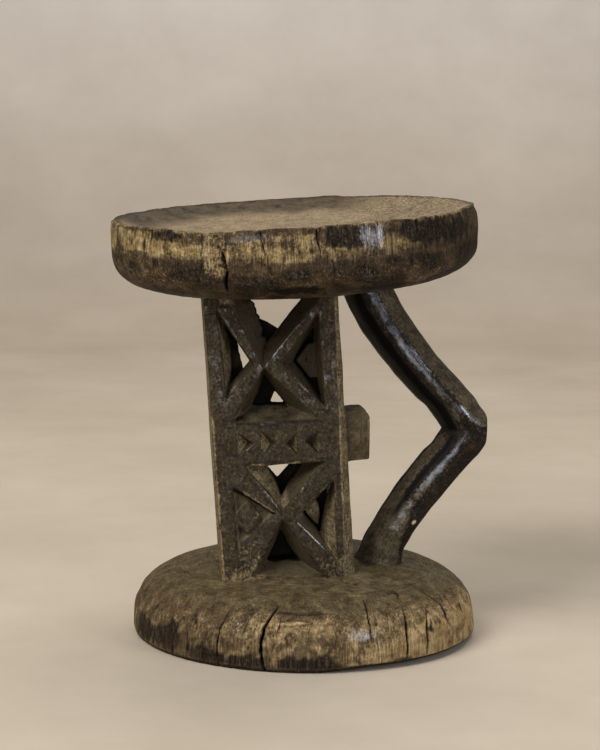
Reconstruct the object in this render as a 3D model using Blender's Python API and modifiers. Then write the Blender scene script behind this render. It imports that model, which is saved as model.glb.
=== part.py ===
"""Carved wooden stool: a round dished seat over a round domed base, held apart by an openwork
column, whose two faces each carry two crossed panels, and by one leg bent at the knee.

Metres, +Z up. The origin is the centre of the base's flat underside. The column's front looks
along -Y and the leg's knee points along +X.
"""

import math

import bmesh
import bpy
from mathutils import Vector

# Clearance left between neighbouring members
CLEARANCE = 0.0003
# How far a member runs on into the seat or base before it is trimmed to the surface
EMBED = 0.018

# Seat
SEAT_DIAMETER = 0.2568
SEAT_RIM_DIAMETER = 0.2548
SEAT_HEIGHT = 0.300
SEAT_THICKNESS = 0.0548
SEAT_WIDEST_DROP = 0.0165
SEAT_UNDERSIDE_POWER = 3.44
SEAT_TILT = math.radians(3.45)
SEAT_OFFSET = Vector((-0.0112, 0.001))
DISH_DEPTH = 0.016
DISH_POWER = 2.3
RIM_WIDTH = 0.004

# Base
BASE_DIAMETER = 0.2436
BASE_HEIGHT = 0.0553
BASE_WIDEST_HEIGHT = 0.005
BASE_DOME_POWER = 3.0
BASE_FOOT_INSET = 0.0012

# Column, measured in its own frame: across, depth behind the front face, and up from the foot
COLUMN_WIDTH = 0.091
COLUMN_DEPTH = 0.048
COLUMN_YAW = math.radians(5.1)
COLUMN_LEAN = math.radians(4.6)
COLUMN_FOOT = Vector((-0.0095, -0.064, 0.050))
POST_WIDTH = 0.0105
POST_DEPTH = 0.017
POST_EDGE = 0.0012
PANEL_DEPTH = 0.020
BAND_BOTTOM = 0.082
BAND_HEIGHT = 0.028
LEDGE_RISE = 0.010
NOTCH_COUNT = 4
NOTCH_WIDTH = 0.009
NOTCH_HEIGHT = 0.015
NOTCH_DEPTH = 0.004
NOTCH_PITCH = 0.0165
BRACE_FACE_WIDTH = 0.0095
BRACE_BACK_WIDTH = 0.024
UPPER_CROSSING_OFFSET = -0.008
UPPER_CROSSING_HEIGHT = 0.153
LOWER_CROSSING_OFFSET = -0.0027
LOWER_CROSSING_HEIGHT = 0.048
BOSS_RECESS = 0.004
WEB_RECESS = 0.013
SILL_RECESS = 0.002
SILL_HEIGHT = 0.009

# Square lug on the column's right side
LUG_REACH = 0.0165
LUG_HEIGHT = 0.035
LUG_DEPTH = 0.026
LUG_SETBACK = 0.011
LUG_BOTTOM = 0.078
LUG_EDGE = 0.0015

# Bent leg
LEG_THICKNESS = 0.030
LEG_SETBACK = 0.010
THIGH_TOP_REACH = 0.0415
KNEE_CENTRE_REACH = 0.1125
KNEE_HEIGHT = 0.1485
KNEE_FACE_REACH = 0.127
FOOT_REACH = 0.0505
THIGH_BOW = 0.0025
SHIN_BOW = 0.0035

# Facets round a turned shape, and points along each of its curves
TURN_STEPS = 64
CURVE_POINTS = 10
LEG_SIDES_RESOLUTION = 4

# Colour and roughness of the smoked, hand-worn wood
SEAT_FINISH = ((0.105, 0.070, 0.042), 0.52)
BASE_FINISH = ((0.135, 0.093, 0.052), 0.60)
COLUMN_FINISH = ((0.052, 0.041, 0.032), 0.48)
LEG_FINISH = ((0.026, 0.020, 0.017), 0.32)

FACES = ("front", "rear")
# Arms of a crossing in the order they turn, seen from the front
ARMS = ("top_right", "top_left", "bottom_left", "bottom_right")

HALF_WIDTH = COLUMN_WIDTH / 2
INNER_HALF = HALF_WIDTH - POST_WIDTH
BAND_TOP = BAND_BOTTOM + BAND_HEIGHT
# Height of the seat's underside and of its embedded members, along the leaning column
COLUMN_TOP = (SEAT_HEIGHT - SEAT_THICKNESS - COLUMN_FOOT.z) / math.cos(COLUMN_LEAN)
MEMBER_TOP = COLUMN_TOP + EMBED


def clear_scene():
    for thing in list(bpy.data.objects):
        bpy.data.objects.remove(thing, do_unlink=True)


def collection(name):
    group = bpy.data.collections.new(name)
    bpy.context.scene.collection.children.link(group)
    return group


def wood(name, finish):
    colour, roughness = finish
    material = bpy.data.materials.new(name + "_wood")
    material.use_nodes = True
    shader = material.node_tree.nodes["Principled BSDF"]
    shader.inputs["Base Color"].default_value = (*colour, 1.0)
    shader.inputs["Roughness"].default_value = roughness
    shader.inputs["Metallic"].default_value = 0.0
    return material


def frame(name, location, rotation):
    empty = bpy.data.objects.new(name, None)
    empty.location = location
    empty.rotation_euler = rotation
    parts.objects.link(empty)
    return empty


def piece(name, mesh, parent, finish):
    """One member of the stool, with its own material."""
    thing = bpy.data.objects.new(name, mesh)
    mesh.materials.append(wood(name, finish))
    thing.parent = parent
    parts.objects.link(thing)
    return thing


def cutter(name, mesh, parent):
    thing = bpy.data.objects.new(name, mesh)
    thing.parent = parent
    thing.hide_render = True
    thing.display_type = "WIRE"
    cutters.objects.link(thing)
    return thing


def cut(thing, tool):
    boolean = thing.modifiers.new("cut_" + tool.name, "BOOLEAN")
    boolean.operation = "DIFFERENCE"
    boolean.solver = "EXACT"
    boolean.object = tool


def round_edges(thing, width):
    bevel = thing.modifiers.new("edges", "BEVEL")
    bevel.width = width
    bevel.segments = 1
    bevel.limit_method = "ANGLE"


def mesh_from(name, solid):
    mesh = bpy.data.meshes.new(name)
    solid.to_mesh(mesh)
    solid.free()
    return mesh


def profile_mesh(name, points):
    """An open outline in the XZ plane, to be turned about Z."""
    mesh = bpy.data.meshes.new(name)
    edges = [(i, i + 1) for i in range(len(points) - 1)]
    mesh.from_pydata([(r, 0.0, z) for r, z in points], edges, [])
    return mesh


def turn(thing):
    screw = thing.modifiers.new("turn", "SCREW")
    screw.axis = "Z"
    screw.angle = 2 * math.pi
    screw.steps = TURN_STEPS
    screw.render_steps = TURN_STEPS
    screw.use_merge_vertices = True
    screw.merge_threshold = 0.00002
    screw.use_smooth_shade = True


def quarter(outer, inner, height, power):
    """Points of a rounded quarter outline: from (outer, 0) to (inner, height), bulging outwards by power."""
    points = []
    for i in range(1, CURVE_POINTS + 1):
        angle = 0.5 * math.pi * i / CURVE_POINTS
        r = inner + (outer - inner) * math.cos(angle) ** (2 / power)
        points.append((r if i < CURVE_POINTS else inner, height * math.sin(angle) ** (2 / power)))
    return points


def seat_outline(grow, dished):
    """Half section of the seat from the middle of its top to the middle of its underside.

    grow swells the outside, and dished hollows the top.
    """
    rim = SEAT_RIM_DIAMETER / 2 + grow
    widest = SEAT_DIAMETER / 2 + grow
    points = []
    if dished:
        dish_radius = SEAT_RIM_DIAMETER / 2 - RIM_WIDTH
        for i in range(CURVE_POINTS + 1):
            share = i / CURVE_POINTS
            points.append((dish_radius * share, -DISH_DEPTH * (1 - share**DISH_POWER)))
    else:
        points.append((0.0, 0.0))
    points.append((rim, 0.0))
    points.append(((rim + widest) / 2, -SEAT_WIDEST_DROP / 3))
    points.append((widest, -SEAT_WIDEST_DROP))
    drop = SEAT_THICKNESS - SEAT_WIDEST_DROP + grow
    for r, fall in quarter(widest, 0.0, drop, SEAT_UNDERSIDE_POWER):
        points.append((r, -SEAT_WIDEST_DROP - fall))
    return points


def base_outline(grow):
    """Half section of the base from the crown of its dome down to the middle of its underside."""
    widest = BASE_DIAMETER / 2 + grow
    rise = BASE_HEIGHT - BASE_WIDEST_HEIGHT + grow
    dome = [(r, BASE_WIDEST_HEIGHT + z) for r, z in quarter(widest, 0.0, rise, BASE_DOME_POWER)]
    points = list(reversed(dome))
    points.append((widest, BASE_WIDEST_HEIGHT))
    points.append((widest - BASE_FOOT_INSET, -grow))
    points.append((0.0, -grow))
    return points


def block(across, depth, up):
    """A box between three pairs of limits in the column's frame."""
    solid = bmesh.new()
    bmesh.ops.create_cube(solid, size=1.0)
    for vert in solid.verts:
        for axis, (low, high) in enumerate((across, depth, up)):
            vert.co[axis] = low + (high - low) * (vert.co[axis] + 0.5)
    return solid


def pare(solid, point, normal):
    """Cut a solid by a plane, drop what lies on the normal's side and close the cut."""
    geometry = solid.verts[:] + solid.edges[:] + solid.faces[:]
    bmesh.ops.bisect_plane(
        solid, geom=geometry, dist=1e-7, plane_co=point, plane_no=normal.normalized(), clear_outer=True
    )
    rim = [edge for edge in solid.edges if edge.is_boundary]
    bmesh.ops.holes_fill(solid, edges=rim)


def to_rear(solid):
    """Mirror a member of the front panel into the rear panel."""
    for vert in solid.verts:
        vert.co.y = COLUMN_DEPTH - vert.co.y
    bmesh.ops.reverse_faces(solid, faces=solid.faces[:])


def panel_arms(crossing, bottom, top):
    """Unit directions, across and up, from a crossing to the panel's corners."""
    ends = {
        "top_right": Vector((INNER_HALF, top)),
        "top_left": Vector((-INNER_HALF, top)),
        "bottom_left": Vector((-INNER_HALF, bottom)),
        "bottom_right": Vector((INNER_HALF, bottom)),
    }
    return {arm: (ends[arm] - crossing).normalized() for arm in ARMS}


def flank(crossing, direction, side):
    """A sloping flank of a brace, as a point on it and its outward normal.

    side is 1 for the flank on the left of the direction and -1 for the right.
    """
    out = Vector((-direction.y, direction.x)) * side
    edge = crossing + out * BRACE_FACE_WIDTH / 2
    flare = (BRACE_BACK_WIDTH - BRACE_FACE_WIDTH) / (2 * PANEL_DEPTH)
    return Vector((edge.x, 0.0, edge.y)), Vector((out.x, -flare, out.y)).normalized()


def pare_ledge(solid, lift, keep_above):
    """Cut along the sloping top of the middle band, raised by lift."""
    slope = Vector((0.0, -LEDGE_RISE, PANEL_DEPTH)).normalized()
    point = Vector((0.0, 0.0, BAND_TOP)) + slope * lift
    pare(solid, point, -slope if keep_above else slope)


def add_braces(face, level, crossing, directions, up_limits):
    """Four arms of one crossing, mitred together where they meet."""
    across = (-INNER_HALF + CLEARANCE, INNER_HALF - CLEARANCE)
    for i, arm in enumerate(ARMS):
        solid = block(across, (0.0, PANEL_DEPTH), up_limits)
        for side in (1, -1):
            pare(solid, *flank(crossing, directions[arm], side))
            neighbour = directions[ARMS[(i + side) % len(ARMS)]]
            mitre = (directions[arm] + neighbour).normalized()
            out = Vector((-mitre.y, mitre.x)) * side
            meet = crossing - out * CLEARANCE / 2
            pare(solid, Vector((meet.x, 0.0, meet.y)), Vector((out.x, 0.0, out.y)))
        if level == "upper":
            pare_ledge(solid, CLEARANCE, keep_above=True)
        if face == "rear":
            to_rear(solid)
        name = f"{face}_{level}_{arm}_brace"
        brace = piece(name, mesh_from(name, solid), column, COLUMN_FINISH)
        if level == "upper" and arm.startswith("top"):
            cut(brace, seat_tool)
        if level == "lower" and arm.startswith("bottom"):
            cut(brace, base_tool)


def plug(crossing, directions, arms, depth_limits, up_limits):
    """What fills an opening between two arms, given in turning order, clear of both."""
    across = (-INNER_HALF + CLEARANCE, INNER_HALF - CLEARANCE)
    solid = block(across, depth_limits, up_limits)
    for arm, side in zip(arms, (1, -1)):
        point, normal = flank(crossing, directions[arm], side)
        pare(solid, point + normal * CLEARANCE, -normal)
    return solid


def add_seat():
    seat = piece("seat", profile_mesh("seat", seat_outline(0.0, True)), seat_frame, SEAT_FINISH)
    turn(seat)


def add_base():
    base = piece("base", profile_mesh("base", base_outline(0.0)), None, BASE_FINISH)
    turn(base)


def add_posts():
    for face in FACES:
        for side, sign in (("left", -1), ("right", 1)):
            across = sorted((sign * INNER_HALF, sign * HALF_WIDTH))
            solid = block(across, (0.0, POST_DEPTH), (-EMBED, MEMBER_TOP))
            if face == "rear":
                to_rear(solid)
            name = f"{face}_{side}_post"
            post = piece(name, mesh_from(name, solid), column, COLUMN_FINISH)
            round_edges(post, POST_EDGE)
            cut(post, base_tool)
            cut(post, seat_tool)


def add_notches(band, face_at, inward):
    """Four three-cornered chips cut in a band, the left pair pointing right and the right pair left.

    Each cutter is a three-sided cone as far out of the face as its point is sunk in it, so the
    chip at the face is half as large as the cone's foot.
    """
    for i in range(NOTCH_COUNT):
        centre = (i - (NOTCH_COUNT - 1) / 2) * NOTCH_PITCH
        way = 1 if centre < 0 else -1
        solid = bmesh.new()
        bmesh.ops.create_cone(
            solid, cap_ends=True, segments=3, radius1=1.0, radius2=0.0, depth=2.0
        )
        for vert in solid.verts:
            width, length, sunk = vert.co
            vert.co.x = centre + way * length * NOTCH_WIDTH
            vert.co.y = face_at + inward * sunk * NOTCH_DEPTH
            vert.co.z = (BAND_BOTTOM + BAND_TOP) / 2 + width * NOTCH_HEIGHT
        if solid.calc_volume(signed=True) < 0:
            bmesh.ops.reverse_faces(solid, faces=solid.faces[:])
        name = f"{band.name}_notch_{i + 1}"
        cut(band, cutter(name, mesh_from(name, solid), column))


def add_bands():
    across = (-INNER_HALF + CLEARANCE, INNER_HALF - CLEARANCE)
    for face in FACES:
        solid = block(across, (0.0, PANEL_DEPTH), (BAND_BOTTOM, BAND_TOP + LEDGE_RISE))
        pare_ledge(solid, 0.0, keep_above=False)
        if face == "rear":
            to_rear(solid)
        name = f"{face}_middle_band"
        band = piece(name, mesh_from(name, solid), column, COLUMN_FINISH)
        if face == "front":
            add_notches(band, 0.0, 1)
        else:
            add_notches(band, COLUMN_DEPTH, -1)
    for side, sign in (("left", -1), ("right", 1)):
        limits = sorted((sign * INNER_HALF, sign * HALF_WIDTH))
        depth = (POST_DEPTH + CLEARANCE, COLUMN_DEPTH - POST_DEPTH - CLEARANCE)
        name = f"{side}_middle_band"
        piece(name, mesh_from(name, block(limits, depth, (BAND_BOTTOM, BAND_TOP))), column, COLUMN_FINISH)


def add_panels():
    lower = Vector((LOWER_CROSSING_OFFSET, LOWER_CROSSING_HEIGHT))
    upper = Vector((UPPER_CROSSING_OFFSET, UPPER_CROSSING_HEIGHT))
    lower_arms = panel_arms(lower, 0.0, BAND_BOTTOM)
    upper_arms = panel_arms(upper, BAND_TOP, COLUMN_TOP)
    lower_limits = (-EMBED, BAND_BOTTOM - CLEARANCE)
    upper_limits = (BAND_TOP, MEMBER_TOP)
    for face in FACES:
        add_braces(face, "lower", lower, lower_arms, lower_limits)
        add_braces(face, "upper", upper, upper_arms, upper_limits)
        feet = ("bottom_left", "bottom_right")
        solid = plug(lower, lower_arms, feet, (SILL_RECESS, PANEL_DEPTH), (-EMBED, SILL_HEIGHT))
        if face == "rear":
            to_rear(solid)
        name = f"{face}_sill"
        cut(piece(name, mesh_from(name, solid), column, COLUMN_FINISH), base_tool)
    left = ("top_left", "bottom_left")
    boss = plug(lower, lower_arms, left, (BOSS_RECESS, PANEL_DEPTH), lower_limits)
    piece("lower_left_boss", mesh_from("lower_left_boss", boss), column, COLUMN_FINISH)
    right = ("bottom_right", "top_right")
    web = plug(upper, upper_arms, right, (WEB_RECESS, PANEL_DEPTH), (BAND_TOP + LEDGE_RISE, COLUMN_TOP))
    piece("upper_right_web", mesh_from("upper_right_web", web), column, COLUMN_FINISH)


def add_lug():
    inner = HALF_WIDTH + CLEARANCE
    solid = block(
        (inner, inner + LUG_REACH),
        (LUG_SETBACK, LUG_SETBACK + LUG_DEPTH),
        (LUG_BOTTOM, LUG_BOTTOM + LUG_HEIGHT),
    )
    lug = piece("side_lug", mesh_from("side_lug", solid), column, COLUMN_FINISH)
    round_edges(lug, LUG_EDGE)


def leg_bar(name, far, near, bow):
    """A round bar bowed towards the stool's axis, from far through the knee at near and a little past it."""
    span = near - far
    inward = Vector((-abs(span.z), 0.0, -abs(span.x) * math.copysign(1.0, -span.z))).normalized()
    middle = (far + near) / 2 + inward * bow
    curve = bpy.data.curves.new(name, "CURVE")
    curve.dimensions = "3D"
    curve.bevel_depth = LEG_THICKNESS / 2
    curve.bevel_resolution = LEG_SIDES_RESOLUTION
    curve.use_fill_caps = True
    spline = curve.splines.new("POLY")
    shares = [i / CURVE_POINTS for i in range(-1, CURVE_POINTS + 4)]
    spline.points.add(len(shares) - 1)
    for point, share in zip(spline.points, shares):
        bent = middle - (far + near) / 2
        place = far + span * share + bent * 4 * share * (1 - share)
        point.co = (*place, 1.0)
    bar = bpy.data.objects.new(name, curve)
    parts.objects.link(bar)
    bpy.context.view_layer.update()
    mesh = bpy.data.meshes.new_from_object(bar.evaluated_get(bpy.context.evaluated_depsgraph_get()))
    bpy.data.objects.remove(bar, do_unlink=True)
    bpy.data.curves.remove(curve)
    solid = bmesh.new()
    solid.from_mesh(mesh)
    bpy.data.meshes.remove(mesh)
    bmesh.ops.remove_doubles(solid, verts=solid.verts[:], dist=1e-6)
    return solid


def add_leg():
    """Thigh and shin, sawn square to the upright at the knee and blunted by one upright face."""
    knee = Vector((KNEE_CENTRE_REACH, -LEG_SETBACK, KNEE_HEIGHT))
    top = Vector((THIGH_TOP_REACH, -LEG_SETBACK, SEAT_HEIGHT - SEAT_THICKNESS))
    foot = Vector((FOOT_REACH, -LEG_SETBACK, BASE_HEIGHT))
    blunt = Vector((KNEE_FACE_REACH, 0.0, 0.0))
    members = (("leg_thigh", top, THIGH_BOW, -1, seat_tool), ("leg_shin", foot, SHIN_BOW, 1, base_tool))
    for name, end, bow, way, tool in members:
        solid = leg_bar(name, end, knee, bow)
        upright = Vector((0.0, 0.0, way))
        pare(solid, knee - upright * CLEARANCE / 2, upright)
        pare(solid, blunt, Vector((1.0, 0.0, 0.0)))
        mesh = mesh_from(name, solid)
        mesh.shade_smooth()
        mesh.set_sharp_from_angle(angle=math.radians(40))
        cut(piece(name, mesh, None, LEG_FINISH), tool)


clear_scene()
parts = collection("carved_stool")
cutters = collection("cutters")
seat_frame = frame("seat_frame", (*SEAT_OFFSET, SEAT_HEIGHT), (0.0, -SEAT_TILT, 0.0))
column = frame("column_frame", COLUMN_FOOT, (0.0, -COLUMN_LEAN, COLUMN_YAW))
seat_tool = cutter("seat_cutter", profile_mesh("seat_cutter", seat_outline(CLEARANCE, False)), seat_frame)
turn(seat_tool)
base_tool = cutter("base_cutter", profile_mesh("base_cutter", base_outline(CLEARANCE)), None)
turn(base_tool)
add_seat()
add_base()
add_posts()
add_bands()
add_panels()
add_lug()
add_leg()
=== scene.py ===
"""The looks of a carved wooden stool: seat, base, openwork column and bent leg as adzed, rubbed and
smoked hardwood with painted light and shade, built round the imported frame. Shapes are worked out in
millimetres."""
import math

import bpy
import numpy as np
from mathutils import Matrix, Vector


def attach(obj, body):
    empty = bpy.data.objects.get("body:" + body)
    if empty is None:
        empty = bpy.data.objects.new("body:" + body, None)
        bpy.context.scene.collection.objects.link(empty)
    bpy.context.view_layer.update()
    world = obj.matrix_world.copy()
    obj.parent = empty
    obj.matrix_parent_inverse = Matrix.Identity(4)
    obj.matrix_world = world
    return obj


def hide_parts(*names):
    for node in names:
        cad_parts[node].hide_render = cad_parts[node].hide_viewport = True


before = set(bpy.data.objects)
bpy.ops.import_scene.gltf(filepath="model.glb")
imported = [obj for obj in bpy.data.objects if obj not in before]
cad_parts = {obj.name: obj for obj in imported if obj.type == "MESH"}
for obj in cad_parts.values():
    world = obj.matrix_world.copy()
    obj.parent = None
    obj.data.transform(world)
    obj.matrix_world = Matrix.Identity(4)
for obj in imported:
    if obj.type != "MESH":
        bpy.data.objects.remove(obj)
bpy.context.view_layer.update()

MM = 0.001

# Camera, from the seat's and base's outlines in the photograph
CAMERA_PLACE = (-5.04, -1646.2, 428.3)
CAMERA_LENS = 112.885
CAMERA_PITCH = 8.433
CAMERA_ROLL = 0.807

# Seat: radii, height of its rim over the floor, depth below the rim, tilt and offset
SEAT_RADIUS = 128.4
SEAT_RIM_RADIUS = 127.4
SEAT_HEIGHT = 300.0
SEAT_THICKNESS = 54.8
SEAT_WIDEST_DROP = 16.5
SEAT_POWER = 3.44
SEAT_TILT = math.radians(3.45)
SEAT_CENTRE = np.array([-11.2, 1.0, SEAT_HEIGHT])
# Dish and rim: depth and roundness of the dish, width and fall of the rim's edge, and rows of points there
DISH_DEPTH = 16.0
DISH_POWER = 3.0
RIM_WIDTH = 4.0
RIM_ROUND = 1.4
DISH_ROWS = 34
# Uneven rim: angle in degrees, 0 towards -Y and growing towards +X, and height over a level rim
RIM_WAVE = [
    (-180, 0.3), (-120, 0.6), (-70, 0.0), (-60, -0.1), (-41, -0.9), (-28, -3.2), (-20, -2.6), (-9, -1.3),
    (2, -1.2), (12, -0.5), (25, 0.0), (37, -0.7), (50, -0.7), (71, 0.0), (120, 0.5), (180, 0.3),
]
# Drying cracks of the seat: path of (degrees, height from the rim), half width and depth
SEAT_CRACKS = [
    ([(-62, 2), (-62.2, -8), (-62.6, -17)], 0.75, 4.0),
    ([(-47.3, 2), (-47.8, -6), (-48.6, -15)], 0.65, 3.6),
    ([(-27.9, 3), (-28.0, -10), (-28.6, -20)], 0.45, 1.6),
    ([(-20.6, 3), (-20.4, -8), (-20.9, -16)], 0.5, 1.6),
    ([(-21.6, -13), (-20.6, -24), (-20.5, -29), (-22.6, -43)], 0.9, 7.0),
    ([(-9.7, 2), (-9.3, -8), (-8.6, -16), (-7.2, -25)], 0.5, 3.0),
    ([(6.6, 3), (7.0, -9), (8.2, -21)], 0.5, 3.0),
]
# Ochre rubbed band of the seat's side: angles in degrees, its upper and lower height, and how strong it is
SEAT_OCHRE = [
    (-180, -95, -62, -48, -45, -31, -28, -19, -9, 6, 9, 21, 24, 29, 38, 44, 52, 95, 180),
    (-2, -1, -1, -1.5, -7, -7, -7, -9, -6, -4, -14, -14, -15, -5, -8, -14, -14, -14, -2),
    (-17, -17, -17, -15, -21, -20, -21, -23, -23, -23, -23, -19, -19, -21, -20, -20, -18, -18, -17),
    (0.5, 0.8, 0.8, 0.75, 0.85, 0.85, 0.7, 0.8, 0.75, 0.85, 0.8, 0.75, 0.3, 0.65, 0.6, 0.45, 0.15, 0.1, 0.5),
]
# Patches of the seat's side, smoky, smooth and charred: middle and reach in degrees and height, and strength
SEAT_DARK = [
    ((-40, -3.2), (8, 2.8), 1.0), ((-38, -23), (10, 2.2), 1.0), ((15, -7), (6.5, 6.5), 1.2),
    ((40, -6), (9, 6), 1.1), ((50, -14), (10, 9), 0.9), ((35, -27), (8, 5), 0.8), ((13, -30), (8, 4), 0.6),
    ((-2, -42.5), (9, 3), 1.5), ((30, -45), (15, 2.6), 1.5), ((62, -14), (9, 12), 0.7),
    ((-72, -22), (8, 5), 0.6),
]
SEAT_SMOOTH = [((54, -42), (18, 7), 0.62), ((-55, -32), (22, 8), 0.4)]
SEAT_CHARRED = [((-1, -43), (10, 3.2), 1.0), ((30, -45.5), (15, 2.6), 1.0)]
# Stretches of angle that need close points, for the cracks
SEAT_FINE = [
    (-63.6, -61.2), (-49.6, -46.4), (-30.2, -18.8), (-10.6, -6.2), (5.6, 9.2),
]

# Degrees between the points round a turned piece, and where cracks need them close
RING_STEP = 0.55
FINE_STEP = 0.16
# Paint at the middles of a turned piece's top and underside
TURNED_ENDS = {"soot": (0, 1), "top": (1, 0)}

# Base: radius, crown, height of its widest line and roundness of its dome
BASE_RADIUS = 121.8
BASE_HEIGHT = 55.3
BASE_WIDEST = 5.0
BASE_POWER = 3.0
# Rounded foot of the base: how far in from its widest line, and height over the floor
BASE_FOOT = [(0.3, 3.4), (1.1, 1.7), (3.2, 0.0)]
# Drying cracks of the base: path of (degrees, height over the floor), half width and depth
BASE_CRACKS = [
    ([(-39.8, 36), (-41.4, 22), (-40.6, 10), (-40.4, -4)], 0.4, 2.0),
    ([(-26.6, 39), (-28.4, 26), (-28.6, 15), (-28, -4)], 0.55, 3.2),
    ([(-18.2, 39), (-19.4, 30), (-20.2, 23)], 0.35, 1.4),
    ([(-9.6, 42), (-11.2, 36), (-13.1, 30), (-14.0, 21), (-13.6, 12), (-13, 5), (-11.4, -4)], 1.0, 7.0),
    ([(-7.6, 36), (-9.0, 26)], 0.4, 2.0),
    ([(24.2, 45), (22.4, 36), (22.3, 27), (22.9, 21)], 0.6, 2.6),
    ([(23.9, 22), (24.6, 15)], 0.35, 1.6),
    ([(30.2, 38), (29.0, 25)], 0.35, 1.4),
    ([(37.6, 38), (36.5, 31), (35.6, 19), (36.0, 10), (35.2, 3)], 0.8, 3.8),
    ([(47.5, 35), (45.6, 28), (44.5, 21), (44.0, 4)], 1.0, 4.6),
    ([(53.6, 44), (55.0, 39.6), (56.4, 33.8), (56.0, 27), (57.4, 20)], 1.3, 4.6),
    ([(25.4, 12), (26.0, 0)], 0.35, 1.4),
]
# Ochre rubbed side of the base: angles in degrees, and how strong it is
BASE_OCHRE = [
    (-180, -90, -60, -30, 0, 30, 60, 90, 180),
    (0.5, 0.26, 0.26, 0.36, 0.46, 0.85, 0.9, 0.6, 0.5),
]
# Patches of the base's side, damp and polished: middle and reach in degrees and height, and strength
BASE_DARK = [
    ((-50, 12), (8.5, 8), 1.1), ((-33.5, 6), (5.2, 7.5), 1.2), ((-20, 4.2), (7, 6.2), 1.25),
    ((2, 6), (9, 7.5), 1.4), ((-68, 13), (7, 9), 0.9), ((16, 1), (9, 3.5), 0.8), ((33, 3), (5, 4), 0.6),
    ((60, 8), (5, 5), 0.5),
]
BASE_POLISH = [((-2, 30), (26, 7), 0.25), ((19, 25), (6, 4.5), 0.8), ((-24, 27), (6, 6), 0.15)]
# Stretches of angle that need close points, for the cracks
BASE_FINE = [
    (-42.2, -38.8), (-29.6, -25.6), (-21.0, -17.4), (-15.2, -6.6), (21.2, 26.8), (28.2, 31.0), (34.2, 38.2),
    (42.8, 48.2), (53.0, 58.2),
]

# Column: place of its foot, turn and lean, its sides and how far the left one spreads at the foot, height,
# depth, thickness of its panels, and how deep it goes into the seat and the base
COLUMN_FOOT = np.array([-9.5, -64.0, 50.0])
COLUMN_YAW = math.radians(5.1)
COLUMN_LEAN = math.radians(4.6)
COLUMN_LEFT = -46.0
COLUMN_RIGHT = 45.6
COLUMN_SPREAD = 0.8
COLUMN_HEIGHT = 196.0
COLUMN_DEPTH = 48.0
PANEL_DEPTH = 20.0
EMBED = 2.5
# Grid that the column's surface is found on: its corners, its step, and the share of faces kept
COLUMN_LOW = np.array([-52.0, -3.0, -14.0])
COLUMN_HIGH = np.array([66.0, 52.0, 214.0])
COLUMN_STEP = 0.85
COLUMN_KEPT = 0.55
# Chamfers of the column's upright edges: place across and in depth, and reach along both
CHAMFERS = [(-45.0, 0.0, -1.4, 2.0), (41.0, 48.0, 4.3, -6.0), (-43.5, 48.0, -2.5, -4.0)]
# Hollow between the panels over and under the middle band, and the slots through the column's sides
HOLLOW_HALF = 33.0
HOLLOW_HEIGHTS = [(119.0, 200.0), (12.0, 81.5)]
SLOT_HEIGHTS = [(118.0, 188.0), (10.0, 79.0)]
SLOT_LOW = (31.0, 17.5)
SLOT_HIGH = (60.0, 30.5)
# Lug on the column's right side: its corners, its lean and the height it leans from, and its cut upper corner
LUG_LOW = (28.0, 11.0, 78.5)
LUG_HIGH = (61.0, 37.0, 113.5)
LUG_LEAN = 0.08
LUG_PIVOT = 80.0
LUG_CORNER = 4.6

# Openings of the front panels. Each wall is its line on the front face, with the opening on the
# line's left, and how far it leans in per millimetre of depth, all along or at its start, middle and end
FRONT_OPENINGS = {
    "upper_top": [
        ((-5.2, 153.5), (21.3, 181.7), (0.3, 0.37, 0.4)),
        ((-27.7, 191.6), (-9.5, 150.4), (0.8, 0.7, 0.4)),
    ],
    "upper_left": [
        ((-34.8, 129.7), (-13.3, 153.5), (0.16, 0.12, 0.09)),
        ((-16.0, 154.4), (-34.2, 185.9), 0.07),
        ((-37.9, 190.3), (-35.3, 131.8), (0.0, 0.43, 0.12)),
    ],
    "upper_right": [
        ((27.4, 181.2), (3.7, 153.5), (0.38, 0.42, 0.55)),
        ((4.2, 150.7), (29.7, 121.7), (0.36, 0.28, 0.1)),
        ((31.9, 124.3), (31.4, 179.5), (0.06, 0.2, 0.06)),
    ],
    "upper_bottom": [
        ((-8.2, 148.9), (-31.6, 116.3), (0.1, 0.42, 0.42)),
        ((26.4, 113.0), (-6.9, 148.1), (0.5, 0.45, 0.14)),
        ((-29.4, 112.4), (27.9, 110.3), 0.52),
    ],
    "lower_top": [
        ((-25.3, 80.4), (-3.3, 50.5), (0.66, 0.56, 0.22)),
        ((1.0, 52.3), (26.1, 77.5), (0.26, 0.42, 0.45)),
        ((27.1, 82.0), (-29.3, 82.2), 0.0),
    ],
    "lower_right": [
        ((33.8, 67.8), (5.3, 44.2), (0.24, 0.25, 0.26)),
        ((5.3, 44.2), (32.3, 12.3), (0.33, 0.24, 0.21)),
        ((34.7, 17.7), (34.4, 67.0), (0.66, 0.4, -0.04)),
    ],
    "lower_bottom": [
        ((-3.8, 42.2), (-27.0, 5.4), (0.24, 0.37, 0.36)),
        ((26.6, 0.0), (-2.4, 43.4), (0.56, 0.48, 0.26)),
        ((-27.1, 4.7), (27.2, -1.5), (0.45, 0.48, 0.5)),
    ],
}
# Shallow cuts of the front face, as walls and depth: the field left of the lower crossing, the recess
# over the upper left arm, and the saw notch under the left post's cap
SHALLOW_CUTS = [
    ([
        ((-6.2, 48.0), (-34.4, 67.9), 0.2),
        ((-31.8, 26.8), (-9.7, 44.0), 0.9),
        ((-36.0, 64.0), (-36.0, 28.0), 0.8),
    ], 6.5),
    ([
        ((-36.5, 193.4), (-22.0, 190.8), 0.5),
        ((-36.3, 200.0), (-36.3, 188.0), 0.4),
        ((-2.0, 188.0), (-2.0, 200.0), 0.0),
    ], 4.5),
    ([
        ((-50.0, 188.3), (-38.3, 188.8), 0.2),
        ((-38.3, 191.0), (-50.0, 190.8), 0.2),
        ((-38.2, 187.0), (-38.2, 193.0), 0.4),
    ], 4.0),
]


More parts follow.
